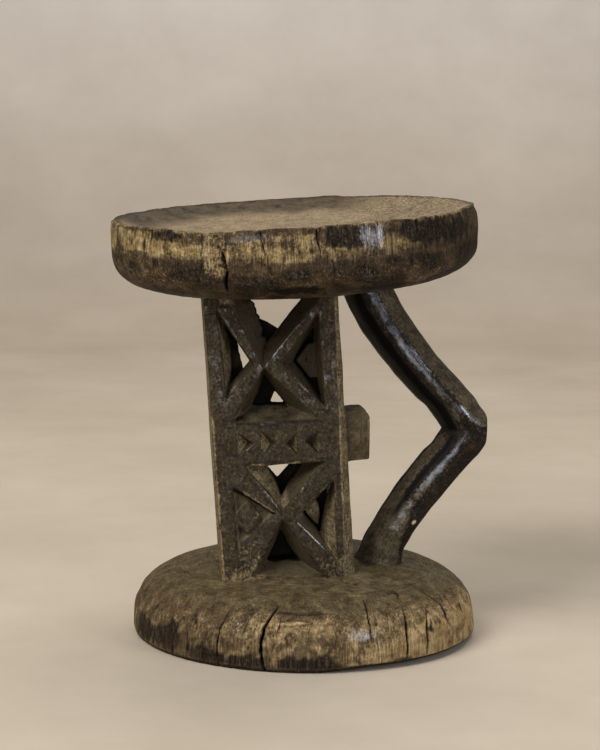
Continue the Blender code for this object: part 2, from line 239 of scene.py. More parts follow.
def leaning(walls, *leans):
    """The same walls, each with another lean."""
    return [(start, end, lean) for (start, end, _), lean in zip(walls, leans)]


# Openings of the rear panels, measured the same way on the rear face seen through the column, and their depth
REAR_OPENINGS = {
    "upper_top": ([
        *leaning(FRONT_OPENINGS["upper_top"], 0.2, 0.55),
        ((-10.0, 174.2), (0.9, 166.8), 0.35),
    ], 23.0),
    "upper_left": ([
        ((-34.8, 124.0), (-13.3, 147.8), 0.0),
        ((-12.0, 154.4), (-30.2, 185.9), 0.0),
        ((-32.2, 160.3), (-30.1, 145.1), 0.5),
    ], 23.0),
    "upper_right": (leaning(FRONT_OPENINGS["upper_right"], 0.5, 0.5, 0.5), 13.0),
    "upper_bottom": ([
        ((-5.5, 130.5), (-8.3, 124.4), 0.3),
        ((9.5, 124.6), (5.0, 131.3), 0.3),
        ((-3.3, 115.9), (4.0, 115.3), 0.3),
    ], 23.0),
    "lower_top": ([
        ((-25.3, 83.0), (-3.3, 53.1), 0.5),
        ((1.0, 54.9), (26.1, 80.1), 0.61),
        ((27.1, 82.0), (-29.3, 82.2), 0.0),
    ], 23.0),
    "lower_left": (leaning(SHALLOW_CUTS[0][0], 0.5, 0.5, 0.5), 13.0),
    "lower_right": (leaning(FRONT_OPENINGS["lower_right"], 0.45, 0.45, 0.4), 13.0),
    "lower_bottom": (leaning(FRONT_OPENINGS["lower_bottom"], 0.5, 0.5, 0.3), 13.0),
}
# Three-cornered chips: corners on the front face, the first two ends of the edge where the floor starts,
# and how far the floor and then the two steep walls lean in per millimetre of depth
CHIPS = [
    ((-30.6, 107.0), (-32.0, 88.4), (-18.2, 98.2), 0.95, 0.35),
    ((-14.2, 108.2), (-14.4, 87.2), (-3.4, 96.2), 0.85, 0.35),
    ((12.4, 85.6), (11.0, 103.2), (3.0, 95.9), 0.75, 0.35),
    ((28.0, 84.3), (27.6, 104.8), (15.6, 96.6), 0.85, 0.35),
    ((-33.4, 38.0), (-30.5, 30.4), (-27.6, 36.2), 0.4, 0.4),
]
# The first of them are the row on the middle band, which its rear face has too; and how deep they may go
BAND_CHIPS = 4
CHIP_DEPTH = 9.0
# Depth for openings that have no floor
NO_FLOOR = 99.0
# Wood left standing in openings: corners on the front face, depth of its front and roundness of its edges
PLUGS = [
    ([(-35.4, 45.2), (-27.8, 34.9), (-21.3, 38.7), (-17.0, 47.4), (-25.4, 59.3), (-32.7, 53.0)], 0.3, 2.5),
    ([(15.2, 151.1), (24.0, 138.0), (34.0, 138.0), (34.0, 161.8), (24.6, 161.8)], 15.5, 0.6),
    ([(14.9, 45.4), (18.6, 38.8), (22.5, 34.8), (24.5, 44.0), (22.9, 51.8)], 14.0, 1.5),
]

# Arm edges that hands have rubbed to a shine: start and end on the front face
SHINING_EDGES = [
    ((8.0, 40.5), (29.0, 17.0)),
    ((-2.0, 157.0), (18.0, 178.5)),
    ((-15.0, 153.0), (-29.0, 176.0)),
]

# Leg: half thickness, and centre line in the upright plane through the knee
LEG_RADIUS = 14.4
LEG_SETBACK = 10.0
KNEE_FACE = 126.9
KNEE = (113.6, 149.5)
THIGH_LINE = [
    (38.6, 256.0), (45.6, 240.9), (52.5, 228.4), (64.7, 211.6), (77.6, 194.7), (93.0, 177.9),
    (101.8, 168.0), KNEE,
]
SHIN_LINE = [
    (52.0, 48.0), (53.6, 53.5), (56.3, 65.2), (66.2, 82.7), (78.0, 100.2), (91.4, 117.7), (105.4, 135.2),
    KNEE,
]
# Facets of its section: the way each faces in degrees, how sharp their edges are, and the polished one
LEG_FACETS = [-160, -124, -84, -48, -8, 36, 84, 130]
FACET_POWER = 15
POLISHED_FACET = 2
# Along the leg, 0 at the seat, 1 at the knee, 2 at the base: swelling, and strength and width of the polish
LEG_SWELL = [
    (0, 0.2, 0.35, 0.6, 0.85, 1.0, 1.15, 1.5, 1.8, 1.93, 2.0),
    (1.08, 1.07, 1.04, 0.98, 0.99, 1.02, 1.0, 0.99, 0.97, 1.02, 1.14),
]
LEG_POLISH = [(0.0, 0.85, 0.98, 1.08, 1.2, 1.4, 1.65, 1.8), (1.5, 1.45, 0.4, 0.95, 0.75, 1.1, 1.2, 0.0)]
LEG_POLISH_WIDTH = [(0.0, 0.9, 1.05, 1.4, 1.7), (11, 11, 9, 10, 16)]

# Patterns of the wood in millimetres: its mottling, its specks, drawn coarser than the pores that they stand
# for, which are too fine to show, and the spacing of hairline cracks in widths of its fibres
MOTTLE_SIZE = (9.0, 9.0, 7.0)
SPECK_SIZE = (1.6, 1.6, 1.8)
HAIR_SPACING = 5

# Canvas behind the stool, in metres: size of its clouding, where the floor sweeps up, radius of the sweep,
# height of the wall and reach to the sides; and its dark and light colours at the floor, high up and between,
# paler high up as painted light on the wall
CLOUD_SIZE = 0.2
SWEEP_START = 1.5
SWEEP_RADIUS = 0.9
WALL_HEIGHT = 4.0
FLOOR_REACH = 8.0
CANVAS_DARK = ("#b8aa95", "#d8cdc0", "#bdaf9f")
CANVAS_LIGHT = ("#c7b9a5", "#e5dbce", "#cbbdad")
# Lamps: name, place and aim in metres, width and height, watts and colour
LAMPS = [
    ("window", (-1.15, -1.35, 1.7), (0, 0, 0.15), (1.2, 1.2), 49, "#ffffff"),
    ("low_window", (-0.2, -2.2, 0.2), (0, 0, 0.2), (1.7, 0.36), 7.5, "#e6efff"),
    ("reflector", (1.35, -1.3, 0.6), (0, 0, 0.2), (0.5, 0.8), 12, "#e6efff"),
    ("bounce", (0.4, 0.9, 2.0), (0, 0, 0.25), (1.6, 1.6), 22, "#ffffff"),
]


def lattice(cell, seed):
    """A steady number from 0 to 1 for each whole-numbered point: its coordinates mixed as 32-bit words."""
    word = cell.astype(np.int64).astype(np.uint32)
    mixed = word[..., 0] * np.uint32(374761393) + word[..., 1] * np.uint32(668265263)
    mixed = mixed + word[..., 2] * np.uint32(2246822519) + np.uint32(seed * 97463 + 12345)
    mixed = (mixed ^ (mixed >> np.uint32(13))) * np.uint32(1274126177)
    mixed = (mixed ^ (mixed >> np.uint32(15))) * np.uint32(2654435761)
    return (mixed ^ (mixed >> np.uint32(16))).astype(np.float32) / np.float32(4294967295.0)


def noise(points, size, seed):
    """Smooth noise from -1 to 1: lattice numbers a given size apart, blended by a cubic ease on each axis."""
    place = np.asarray(points, float) / np.asarray(size, float)
    cell = np.floor(place)
    ease = place - cell
    ease = ease * ease * (3 - 2 * ease)
    total = np.zeros(place.shape[:-1])
    for corner in np.ndindex(2, 2, 2):
        share = np.prod(np.where(np.array(corner) == 1, ease, 1 - ease), axis=-1)
        total += share * lattice(cell + np.array(corner), seed)
    return 2 * total - 1


def layered(points, size, seed, layers=3):
    """Noise summed over layers, each half as large and half as strong as the one before."""
    size = np.asarray(size, float)
    return sum(noise(points, size / 2**i, seed + i) / 2**i for i in range(layers))


def hollows(points, size, seed):
    """Squared distance to the nearest of a jittered lattice of points: an adze cut hollows round each."""
    place = np.asarray(points, float) / np.asarray(size, float)
    cell = np.floor(place)
    best = np.full(place.shape[:-1], 9.0)
    for shift in np.ndindex(3, 3, 3):
        near = cell + np.array(shift) - 1
        centre = near + np.stack([lattice(near, seed + i) for i in range(3)], axis=-1)
        best = np.minimum(best, ((place - centre) ** 2).sum(axis=-1))
    return best


def smoothstep(low, high, value):
    """Cubic ease from 0 at the low value to 1 at the high one; falling where low is the larger."""
    share = np.clip((value - low) / (high - low), 0, 1)
    return share * share * (3 - 2 * share)


def patch(angle, height, middle, reach):
    """A soft patch on a turned piece: 1 at its middle, a bell over its reach in angle and height."""
    return np.exp(-(((angle - middle[0]) / reach[0]) ** 2) - ((height - middle[1]) / reach[1]) ** 2)


def patches(angle, height, table):
    """Sum of a table's soft patches, each times its strength."""
    return sum(strength * patch(angle, height, middle, reach) for middle, reach, strength in table)


def add_piece(name, points, faces, nodes):
    """A finished piece from points in millimetres and faces, on the one body and in place of its nodes."""
    mesh = bpy.data.meshes.new(name)
    mesh.from_pydata((np.asarray(points) * MM).tolist(), [], faces)
    mesh.validate()
    mesh.shade_smooth()
    piece = bpy.data.objects.new(name, mesh)
    bpy.context.scene.collection.objects.link(piece)
    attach(piece, "root")
    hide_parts(*nodes)
    return piece


def write_attributes(piece, flow, **values):
    """Stores on each point the way its fibres run, their length along the third axis in mm, and its paint."""
    attribute = piece.data.attributes.new("flow", "FLOAT_VECTOR", "POINT")
    attribute.data.foreach_set("vector", (flow * MM).astype(np.float32).ravel())
    for name, value in values.items():
        attribute = piece.data.attributes.new(name, "FLOAT", "POINT")
        attribute.data.foreach_set("value", np.clip(value, 0, 1.5).astype(np.float32).ravel())


def write_grid(piece, flow, closing, values, ends):
    """Stores fibres and paint of a closed grid, row by row, then at the two middle points that close it."""
    flow = np.append(flow.reshape(-1, 3), closing, axis=0)
    values = {key: np.append(value.ravel(), ends.get(key, (0, 0))) for key, value in values.items()}
    write_attributes(piece, flow, **values)


def grid_faces(rows, columns):
    """Faces of a grid stored row by row, closed round its columns."""
    row, column = np.meshgrid(np.arange(rows - 1), np.arange(columns), indexing="ij")
    after = (column + 1) % columns
    this, below = row * columns, (row + 1) * columns
    corners = (this + column, this + after, below + after, below + column)
    return np.stack([corner.ravel() for corner in corners], axis=1)


def closed_grid(grid, first, last, flip):
    """Points and faces of a grid closed round its columns, its ends closed at a first and a last point."""
    rows, columns = grid.shape[:2]
    points = np.concatenate([grid.reshape(-1, 3), [first, last]])
    ring = np.arange(columns)
    after = np.roll(ring, -1)
    end = (rows - 1) * columns
    first_fan = np.stack([after, ring, np.full(columns, rows * columns)], axis=1)
    last_fan = np.stack([ring + end, after + end, np.full(columns, rows * columns + 1)], axis=1)
    parts = [grid_faces(rows, columns), first_fan, last_fan]
    return points, [face for part in parts for face in (part[:, ::-1] if flip else part).tolist()]


def rounded_fall(radius, outer, drop, power):
    """Fall of a rounded shoulder: the drop times the power-root of one less the radius share's power."""
    share = np.clip(radius / outer, 0, 1)
    return drop * (1 - share**power) ** (1 / power)


def seat_to_world(points):
    """From the seat's own frame, rim at height zero, to the stool's: tilted about Y with its +X side up."""
    x, y, z = points[..., 0], points[..., 1], points[..., 2]
    cos, sin = math.cos(SEAT_TILT), math.sin(SEAT_TILT)
    return np.stack([x * cos - z * sin, y, x * sin + z * cos], axis=-1) + SEAT_CENTRE


def seat_profile():
    """Half section of the seat from the dish's middle over the rim and down to the underside's middle."""
    dish_radius = SEAT_RIM_RADIUS - RIM_WIDTH
    share = np.linspace(0.03, 1, DISH_ROWS) ** 0.8
    dish = np.stack([dish_radius * share, -DISH_DEPTH * (1 - share**DISH_POWER)], axis=1)
    turn = np.linspace(0, math.pi / 2, 7)[1:]
    over = np.stack([dish_radius + 2.2 + 1.8 * np.sin(turn), 0.2 - 1.6 * (1 - np.cos(turn))], axis=1)
    fall = np.linspace(0, 1, 17)[1:]
    side_radius = SEAT_RIM_RADIUS + np.sin(fall * math.pi / 2)
    side = np.stack([side_radius, -RIM_ROUND - (SEAT_WIDEST_DROP - RIM_ROUND) * fall], axis=1)
    angle = np.linspace(0, 1, 45)[1:-1] * math.pi / 2
    drop = SEAT_THICKNESS - SEAT_WIDEST_DROP
    under_radius = SEAT_RADIUS * np.cos(angle) ** (2 / SEAT_POWER)
    under = np.stack([under_radius, -SEAT_WIDEST_DROP - drop * np.sin(angle) ** (2 / SEAT_POWER)], axis=1)
    return np.concatenate([dish, over, side, under])


def base_profile():
    """Half section of the base from the dome's crown over its widest line to the underside's middle."""
    angle = np.linspace(1, 0, 70)[1:] * math.pi / 2
    rise = BASE_HEIGHT - BASE_WIDEST
    dome_radius = BASE_RADIUS * np.cos(angle) ** (2 / BASE_POWER)
    dome = np.stack([dome_radius, BASE_WIDEST + rise * np.sin(angle) ** (2 / BASE_POWER)], axis=1)
    foot = np.array([(BASE_RADIUS - inset, height) for inset, height in BASE_FOOT])
    share = np.linspace(0.94, 0.04, 10)[:, None]
    under = np.concatenate([foot[-1:, :1] * share, np.zeros((10, 1))], axis=1)
    return np.concatenate([dome, foot, under])


def ring_angles(fine):
    """Angles in degrees round a turned piece, close together where cracks need it."""
    coarse = np.arange(-180, 180, RING_STEP)
    kept = [angle for angle in coarse if not any(low - 0.2 < angle < high + 0.2 for low, high in fine)]
    return np.sort(np.concatenate([kept] + [np.arange(low, high, FINE_STEP) for low, high in fine]))


def turned_grid(profile, degrees):
    """Points and outward directions of a profile turned to each angle, row by row."""
    angle = np.radians(degrees)[None, :]
    slope = np.gradient(profile, axis=0)
    slope /= np.hypot(slope[:, 0], slope[:, 1])[:, None]
    sine, cosine = np.sin(angle), -np.cos(angle)

    def turn(pair):
        return np.stack([pair[:, :1] * sine, pair[:, :1] * cosine, pair[:, 1:] + 0 * angle], axis=-1)

    return turn(profile), turn(np.stack([-slope[:, 1], slope[:, 0]], axis=1))


def crack_depths(degrees, height, cracks, radius, seed):
    """Depth of every drying crack: a wandering path with a bell-shaped section, fading at its ends."""
    total = np.zeros(np.broadcast(degrees, height).shape)
    for i, (path, width, depth) in enumerate(cracks):
        angles, heights = np.array(sorted(path, key=lambda p: p[1])).T
        along = np.stack([0 * height + 3.7 * i, height, 0 * height], axis=-1)
        middle = np.interp(height, heights, angles) + 0.22 * layered(along, 5.0, seed + i)
        away = np.radians(degrees - middle) * radius
        share = np.clip((height - heights[0]) / (heights[-1] - heights[0]), 0, 1)
        fade = np.sqrt(np.clip(4 * share * (1 - share), 0, 1))
        fade = fade * (0.8 + 0.35 * noise(along, 3.0, seed + 40 + i))
        total = np.maximum(total, depth * fade * np.exp(-((away / (width * (0.55 + 0.45 * fade))) ** 2)))
    return total


def make_seat():
    """The seat: a dished round block turned from its profile, cut by adze hollows, wear, dents and cracks."""
    profile = seat_profile()
    degrees = ring_angles(SEAT_FINE)
    points, out = turned_grid(profile, degrees)
    radius, height = np.hypot(points[..., 0], points[..., 1]), points[..., 2]
    angle = degrees[None, :] + 0 * height
    outer = smoothstep(60, 120, radius)
    wave = np.interp(degrees, *np.array(RIM_WAVE).T)[None, :]
    rim = smoothstep(-30, -1, height) * smoothstep(85, 124, radius)
    inside = (np.arange(len(profile)) < DISH_ROWS)[:, None] + 0 * height
    side = (1 - inside) * smoothstep(-46, -30, height)
    edge = np.exp(-((radius - 125.5) / 3.0) ** 2) * smoothstep(-6, -1, height)
    grain_points = np.stack([points[..., 0], points[..., 1], height * 0.1], axis=-1)
    shape = 0.4 * layered(points, 42.0, 3) * outer + 0.22 * layered(points, 11.0, 8)
    shape += 0.5 * noise(points, 26.0, 12) * side
    shape += 0.9 * (hollows(points, (15.0, 15.0, 19.0), 20) - 0.35) * side
    dished = inside * smoothstep(20, 60, radius) * smoothstep(122, 108, radius)
    shape += 0.5 * (hollows(points, (22.0, 22.0, 60.0), 24) - 0.35) * dished
    shape += 0.16 * layered(grain_points, (2.6, 2.6, 2.6), 30, 2) * (1 - inside)
    shape -= edge * (0.15 + 0.14 * np.clip(layered(points, (9.0, 9.0, 30.0), 35), -0.4, 1))
    rubbed_off = smoothstep(45, 75, angle) * smoothstep(140, 110, angle)
    shape -= 2.4 * edge * smoothstep(125.5, 128, radius) * rubbed_off
    # A panel between two cracks at the front left, sunk a little and round at its foot
    flap = smoothstep(-28.3, -27.5, angle) * (1 - smoothstep(-21.0, -20.2, angle)) * (1 - inside)
    flap *= smoothstep(-33.5, -31.0, height - 3.0 * ((angle + 24.3) / 3.6) ** 2)
    shape -= 1.5 * flap
    chip = patch(angle, height, (6.8, 0.0), (0.9, 1.6)) * (radius > 122)
    crack = crack_depths(angle, height, SEAT_CRACKS, SEAT_RADIUS, 50) * (radius > 122.5 - 8 * (1 - inside))
    grid = points + out * (shape - crack - 1.5 * chip)[..., None]
    grid[..., 2] += wave * rim
    closed, faces = closed_grid(grid, [0, 0, -DISH_DEPTH], [0, 0, -SEAT_THICKNESS], True)
    piece = add_piece("seat_carving", seat_to_world(closed), faces, ["seat"])
    paint_seat(piece, points, angle, inside, edge, flap, crack, closed[-2:])
    return piece


def paint_seat(piece, points, angle, inside, edge, flap, crack, closing):
    """Paint of the seat: its rubbed band and rim, darker below, painted shade on the dish's far wall, a
    painted highlight at the front right, polish, and charred spots.
    """
    radius, height = np.hypot(points[..., 0], points[..., 1]), points[..., 2]
    grain_points = np.stack([points[..., 0], points[..., 1], height * 0.1], axis=-1)
    mottle = layered(points, (16.0, 16.0, 11.0), 60, 4)
    streak = layered(grain_points, (3.2, 3.2, 3.2), 66, 3)
    smear = layered(points * np.array([0.4, 0.4, 1.0]) + 0.12 * points[..., :1], 8.0, 75, 4)
    start, end, share = (np.interp(angle, SEAT_OCHRE[0], row) for row in SEAT_OCHRE[1:])
    band = smoothstep(start + 1.5, start - 1.5, height + 2.5 * mottle)
    band = band * smoothstep(end - 2, end + 2, height + 3 * mottle)
    worn = share * band * (0.95 + 0.6 * mottle + 0.4 * streak)
    worn = np.maximum(worn * (1 - 0.8 * flap), 0.46 * flap)
    line = np.exp(-((radius - 125.3) / 2.0) ** 2) * smoothstep(-5, -1, height)
    line = line * smoothstep(-0.9, 0.2, layered(points, (7.0, 7.0, 20.0), 71))
    worn = np.maximum(worn * (1 - inside), 1.1 * line * (1 - 0.5 * smoothstep(58, 90, np.abs(angle))))
    dark = patches(angle, height, SEAT_DARK)
    soot = smoothstep(0.2, 0.85, dark + 0.6 * mottle + 0.5 * streak)
    # Darker towards the bottom of the side; the right side darker too, its own darker wood with painted shade
    # over it
    low = smoothstep(-20, -27, height + 3 * mottle)
    right = 0.45 * smoothstep(46, 66, angle) * (angle < 150)
    soot = np.maximum(soot, low * (0.58 + 0.75 * smear) + right) * (1 - inside)
    # Painted highlight at the front right: rubbed colour laid in and the dark taken back under a patch that
    # is also polished
    shine = patch(angle, height, (24.3, -9), (4.2, 10.0)) * (0.8 + 0.6 * streak)
    worn = np.maximum(worn, 0.5 * shine * (1 - inside))
    shine = np.clip(shine, 0, 1)
    soot = soot * (1 - 0.7 * shine) * (1 - 0.7 * flap)
    gloss = 1.4 * patch(angle, height, (-14, -5), (6.5, 3.0)) + 1.1 * shine
    gloss += 0.4 * patch(angle, height, (0, -34), (60, 9)) * (0.5 + smear)
    sat = inside * smoothstep(112, 88, radius + 5 * mottle)
    gloss = np.maximum(gloss * (1 - inside), sat * (0.15 + 0.1 * mottle))
    # Painted shade: a dark crescent on the dish's far wall
    behind = np.abs((angle + 325) % 360 - 180)
    far_wall_shade = smoothstep(82, 110, radius + 4 * mottle) * smoothstep(85, 45, behind)
    soot = np.maximum(soot, inside * 0.76 * far_wall_shade)
    smooth = patches(angle, height, SEAT_SMOOTH) + 0.35 * flap
    # The dish a little darker towards its right and back
    dimmer_right = smoothstep(20, 80, points[..., 0] + 12 * mottle)
    dimmer_right = dimmer_right * smoothstep(-20, 20, points[..., 1] + 8 * mottle)
    top = np.maximum(inside * (1 - edge) * (1 - 0.24 * dimmer_right), smooth * (0.9 + smear))
    charred = patches(angle, height, SEAT_CHARRED) + 0.4 * mottle + 0.3 * streak
    charred = smoothstep(0.45, 0.8, charred) * (1 - inside)
    cut = np.maximum(np.clip(crack / 1.6, 0, 1), 0.8 * charred)
    values = {"worn": worn, "soot": soot, "gloss": gloss, "top": top, "cut": cut}
    rings = np.stack([radius, 0.12 * points[..., 1], points[..., 0]], axis=-1)
    flow = np.where(inside[..., None] > 0, rings, points)
    write_grid(piece, flow, closing, values, TURNED_ENDS)


def make_base():
    """The base: a low dome turned from its profile, with a soft shoulder, adze hollows, dents and cracks."""
    profile = base_profile()
    degrees = ring_angles(BASE_FINE)
    points, out = turned_grid(profile, degrees)
    radius, height = np.hypot(points[..., 0], points[..., 1]), points[..., 2]
    angle = degrees[None, :] + 0 * height
    above = smoothstep(0.5, 5.0, height)
    side = above * smoothstep(104, 116, radius)
    crown = above * (1 - smoothstep(100, 113, radius))
    shape = 0.7 * layered(points, 45.0, 103) * above + 0.22 * layered(points, 10.0, 108) * above
    shape += 0.9 * (hollows(points, (17.0, 17.0, 15.0), 120) - 0.35) * side
    shape += 0.5 * (hollows(points, (26.0, 9.0, 40.0), 124) - 0.35) * crown
    # A soft shoulder at the front, and a scored line on it before the column
    ridge = (radius - 109.0 - 1.5 * noise(points, 22.0, 128)) / 3.2
    shoulder = np.exp(-(ridge**2)) * np.exp(-((angle - 2) / 30.0) ** 2)
    shape += 0.8 * shoulder * above
    brow = smoothstep(-10.5, -8.5, angle) * smoothstep(9.0, 4.0, angle)
    sunk = np.exp(-((height - 38.3 - 0.8 * noise(points, 14.0, 170)) / 0.8) ** 2) * brow * above
    shape -= 1.0 * sunk
    streaks = np.stack([points[..., 0], points[..., 1], height * 0.12], axis=-1)
    shape += 0.15 * layered(streaks, 2.6, 130, 2) * side
    dents = np.clip(layered(points, (11.0, 11.0, 5.0), 135) - 0.35, 0, 1)
    shape -= 0.7 * dents * smoothstep(14, 3, height) * above
    crack = crack_depths(angle, height, BASE_CRACKS, BASE_RADIUS, 150) * (radius > 96)
    grid = points + out * (shape - crack * np.where(height < 0.3, 0.0, 1.0))[..., None]
    lift = smoothstep(0, 25, angle) * smoothstep(95, 60, angle)
    lift = lift * smoothstep(106, 120, radius) * smoothstep(7, 1, height)
    grid[..., 2] = np.maximum(grid[..., 2], 0.0) + 3.2 * lift
    closed, faces = closed_grid(grid, [0, 0, BASE_HEIGHT], [0, 0, 0], True)
    piece = add_piece("base_carving", closed, faces, ["base"])
    paint_base(piece, points, angle, above, brow, sunk, crack, closed[-2:])
    return piece


def paint_base(piece, points, angle, above, brow, sunk, crack, closing):
    """Paint of the base: its rubbed side, damp patches, painted shadow at the foot, painted highlights on the
    shoulder, polish, and the bare top.
    """
    radius, height = np.hypot(points[..., 0], points[..., 1]), points[..., 2]
    streaks = np.stack([points[..., 0], points[..., 1], height * 0.12], axis=-1)
    mottle = layered(points, (15.0, 15.0, 11.0), 160, 4)
    streak = layered(streaks, 3.2, 166, 3)
    share = np.interp(angle, *BASE_OCHRE)
    rubbed = share * (0.8 + 0.6 * mottle + 0.4 * streak) + 0.35 * smoothstep(15, 50, angle)
    worn = smoothstep(47, 22, height + 4 * mottle) * rubbed
    dark = patches(angle, height, BASE_DARK)
    soot = smoothstep(0.2, 0.62, dark + 0.4 * mottle + 0.3 * streak) * above
    # Painted shadow along the foot, where it meets the floor
    soot = np.maximum(soot, 1.2 * smoothstep(4.0, 0.8, height))
    gloss = patches(angle, height, BASE_POLISH)
    # Painted highlight: a pale band below the front shoulder, where it catches the light
    worn = np.maximum(worn, 0.9 * patch(angle, height, (-4, 30), (26, 8)) * (0.8 + 0.6 * mottle))
    top = smoothstep(35, 41, height + 1.5 * mottle) * above
    # Painted highlight along the ridge under the scored line, with ochre rubbed into the right side
    lit = np.exp(-((height - 33.2 - 0.1 * angle) / 0.7) ** 2) * brow * smoothstep(4.0, -2.0, angle)
    worn = np.maximum(worn, 1.3 * np.maximum(lit, patch(angle, height, (42, 12), (24, 11))))
    # The scored line is painted dark besides being cut, painted shade in its undercut
    cut = np.maximum(np.clip(crack / 1.6, 0, 1), 0.75 * sunk)
    values = {"worn": worn, "soot": soot, "gloss": gloss, "top": top, "cut": cut}
    arc = np.stack([radius, 0 * radius, np.radians(angle) * radius], axis=-1)
    flow = np.where(radius[..., None] < 97, arc, points)
    write_grid(piece, flow, closing, values, TURNED_ENDS)


def column_axes():
    """Across, depth and up directions of the column: turned about Z, then leaning to the left."""
    along = np.array([math.cos(COLUMN_YAW), math.sin(COLUMN_YAW), 0.0])
    up = np.array([0.0, 0.0, 1.0])
    across = math.cos(COLUMN_LEAN) * along + math.sin(COLUMN_LEAN) * up
    upward = math.cos(COLUMN_LEAN) * up - math.sin(COLUMN_LEAN) * along
    depth = np.array([-math.sin(COLUMN_YAW), math.cos(COLUMN_YAW), 0.0])
    return across, depth, upward


def smooth_max(one, other, blend):
    """The larger of two distances, with the ridge where they cross rounded over the blend length."""
    near = np.maximum(blend - np.abs(one - other), 0)
    return np.maximum(one, other) + near * near / (4 * blend)


def wall_distance(u, v, w, wall):
    """Distance to a leaning wall, positive on its line's left; its lean follows a parabola along the line."""
    (u0, w0), (u1, w1), lean = wall
    first, middle, last = np.broadcast_to(lean, 3).tolist()
    length = math.hypot(u1 - u0, w1 - w0)
    inward = ((u1 - u0) * (w - w0) - (w1 - w0) * (u - u0)) / length
    share = np.clip(((u1 - u0) * (u - u0) + (w1 - w0) * (w - w0)) / length**2, 0, 1)
    lean = first * (1 - share) * (1 - 2 * share) + 4 * middle * share * (1 - share)
    lean = lean + last * share * (2 * share - 1)
    return (inward - lean * v) / math.hypot(1, middle)


def opening(u, v, w, walls, floor):
    """Distance inside an opening that several leaning walls and a floor bound, positive inside."""
    inside = floor - v
    for wall in walls:
        inside = np.minimum(inside, wall_distance(u, v, w, wall))
    return inside


def box_distance(u, v, w, low, high, blend):
    """Distance to a box, negative inside, its edges rounded over the blend length."""
    solid = np.maximum(low[0] - u, u - high[0])
    solid = smooth_max(solid, np.maximum(low[1] - v, v - high[1]), blend)
    return smooth_max(solid, np.maximum(low[2] - w, w - high[2]), blend)


def front_bevel(u, v, w):
    """Distance out of the bevel on the column's front right edge, which moves outwards going up."""
    return ((u - 38.5 - 0.0256 * w) * 8.0 - v * 6.0) / 10.0


def column_field(u, v, w):
    """Distance to the column's surface, negative in the wood: its block less every opening, chip and slot."""
    left = COLUMN_LEFT - COLUMN_SPREAD * (1 - w / COLUMN_HEIGHT)
    solid = smooth_max(left - u, u - COLUMN_RIGHT, 1.0)
    solid = smooth_max(solid, np.maximum(0.2 - v, v - COLUMN_DEPTH), 1.2)
    solid = smooth_max(solid, front_bevel(u, v, w), 0.8)
    for edge_u, edge_v, reach, depth in CHAMFERS:
        size = math.hypot(reach, depth)
        beside, behind = (u - edge_u) * abs(depth), (v - edge_v) * abs(reach)
        chamfer = (beside * np.sign(reach) - behind * np.sign(depth)) / size
        solid = smooth_max(solid, chamfer, 1.0)
    fibre = np.stack(np.broadcast_arrays(0 * w, 0 * w, w), axis=-1)
    ragged = 2.0 * layered(fibre, 5.0, 205, 2) * smoothstep(8.0, 18.0, v) * smoothstep(-2.0, -6.0, u)
    for name, walls in FRONT_OPENINGS.items():
        torn = ragged if name == "upper_top" else 0
        solid = smooth_max(solid, opening(u + torn, v, w, walls, PANEL_DEPTH + 3.0), 1.1)
    for name, (walls, floor) in REAR_OPENINGS.items():
        torn = ragged if name == "upper_top" else 0
        solid = smooth_max(solid, opening(u + torn, COLUMN_DEPTH - v, w, walls, floor), 1.0)
    for walls, floor in SHALLOW_CUTS:
        solid = smooth_max(solid, opening(u, v, w, walls, floor), 0.8)
    rear = COLUMN_DEPTH - PANEL_DEPTH
    for low, high in HOLLOW_HEIGHTS:
        hollow = -box_distance(u, v, w, (-HOLLOW_HALF, PANEL_DEPTH, low), (HOLLOW_HALF, rear, high), 2.0)
        solid = np.maximum(solid, hollow)
    for side in (-1, 1):
        for low, high in SLOT_HEIGHTS:
            slot = -box_distance(side * u, v, w, (*SLOT_LOW, low), (*SLOT_HIGH, high), 3.0)
            solid = smooth_max(solid, slot, 0.8)
    for i, (one, two, three, floor, steep) in enumerate(CHIPS):
        walls = [(one, two, floor), (two, three, steep), (three, one, steep)]
        solid = smooth_max(solid, opening(u, v, w, walls, CHIP_DEPTH), 0.5)
        if i < BAND_CHIPS:
            solid = smooth_max(solid, opening(u, COLUMN_DEPTH - v, w, walls, CHIP_DEPTH), 0.5)
    for corners, front, blend in PLUGS:
        plug = front - v
        for start, end in zip(corners, corners[1:] + corners[:1]):
            plug = smooth_max(plug, -wall_distance(u, v, w, (start, end, 0.0)), blend)
        solid = -smooth_max(-solid, -np.maximum(plug, v - rear), 0.8)
    upright = u - LUG_LEAN * (w - LUG_PIVOT)
    lug = box_distance(upright, v, w, LUG_LOW, LUG_HIGH, 1.2)
    corner = (upright - LUG_HIGH[0]) + (w - LUG_HIGH[2]) + LUG_CORNER
    lug = smooth_max(lug, corner / 1.414, 1.0)
    return -smooth_max(-solid, -lug, 1.2)


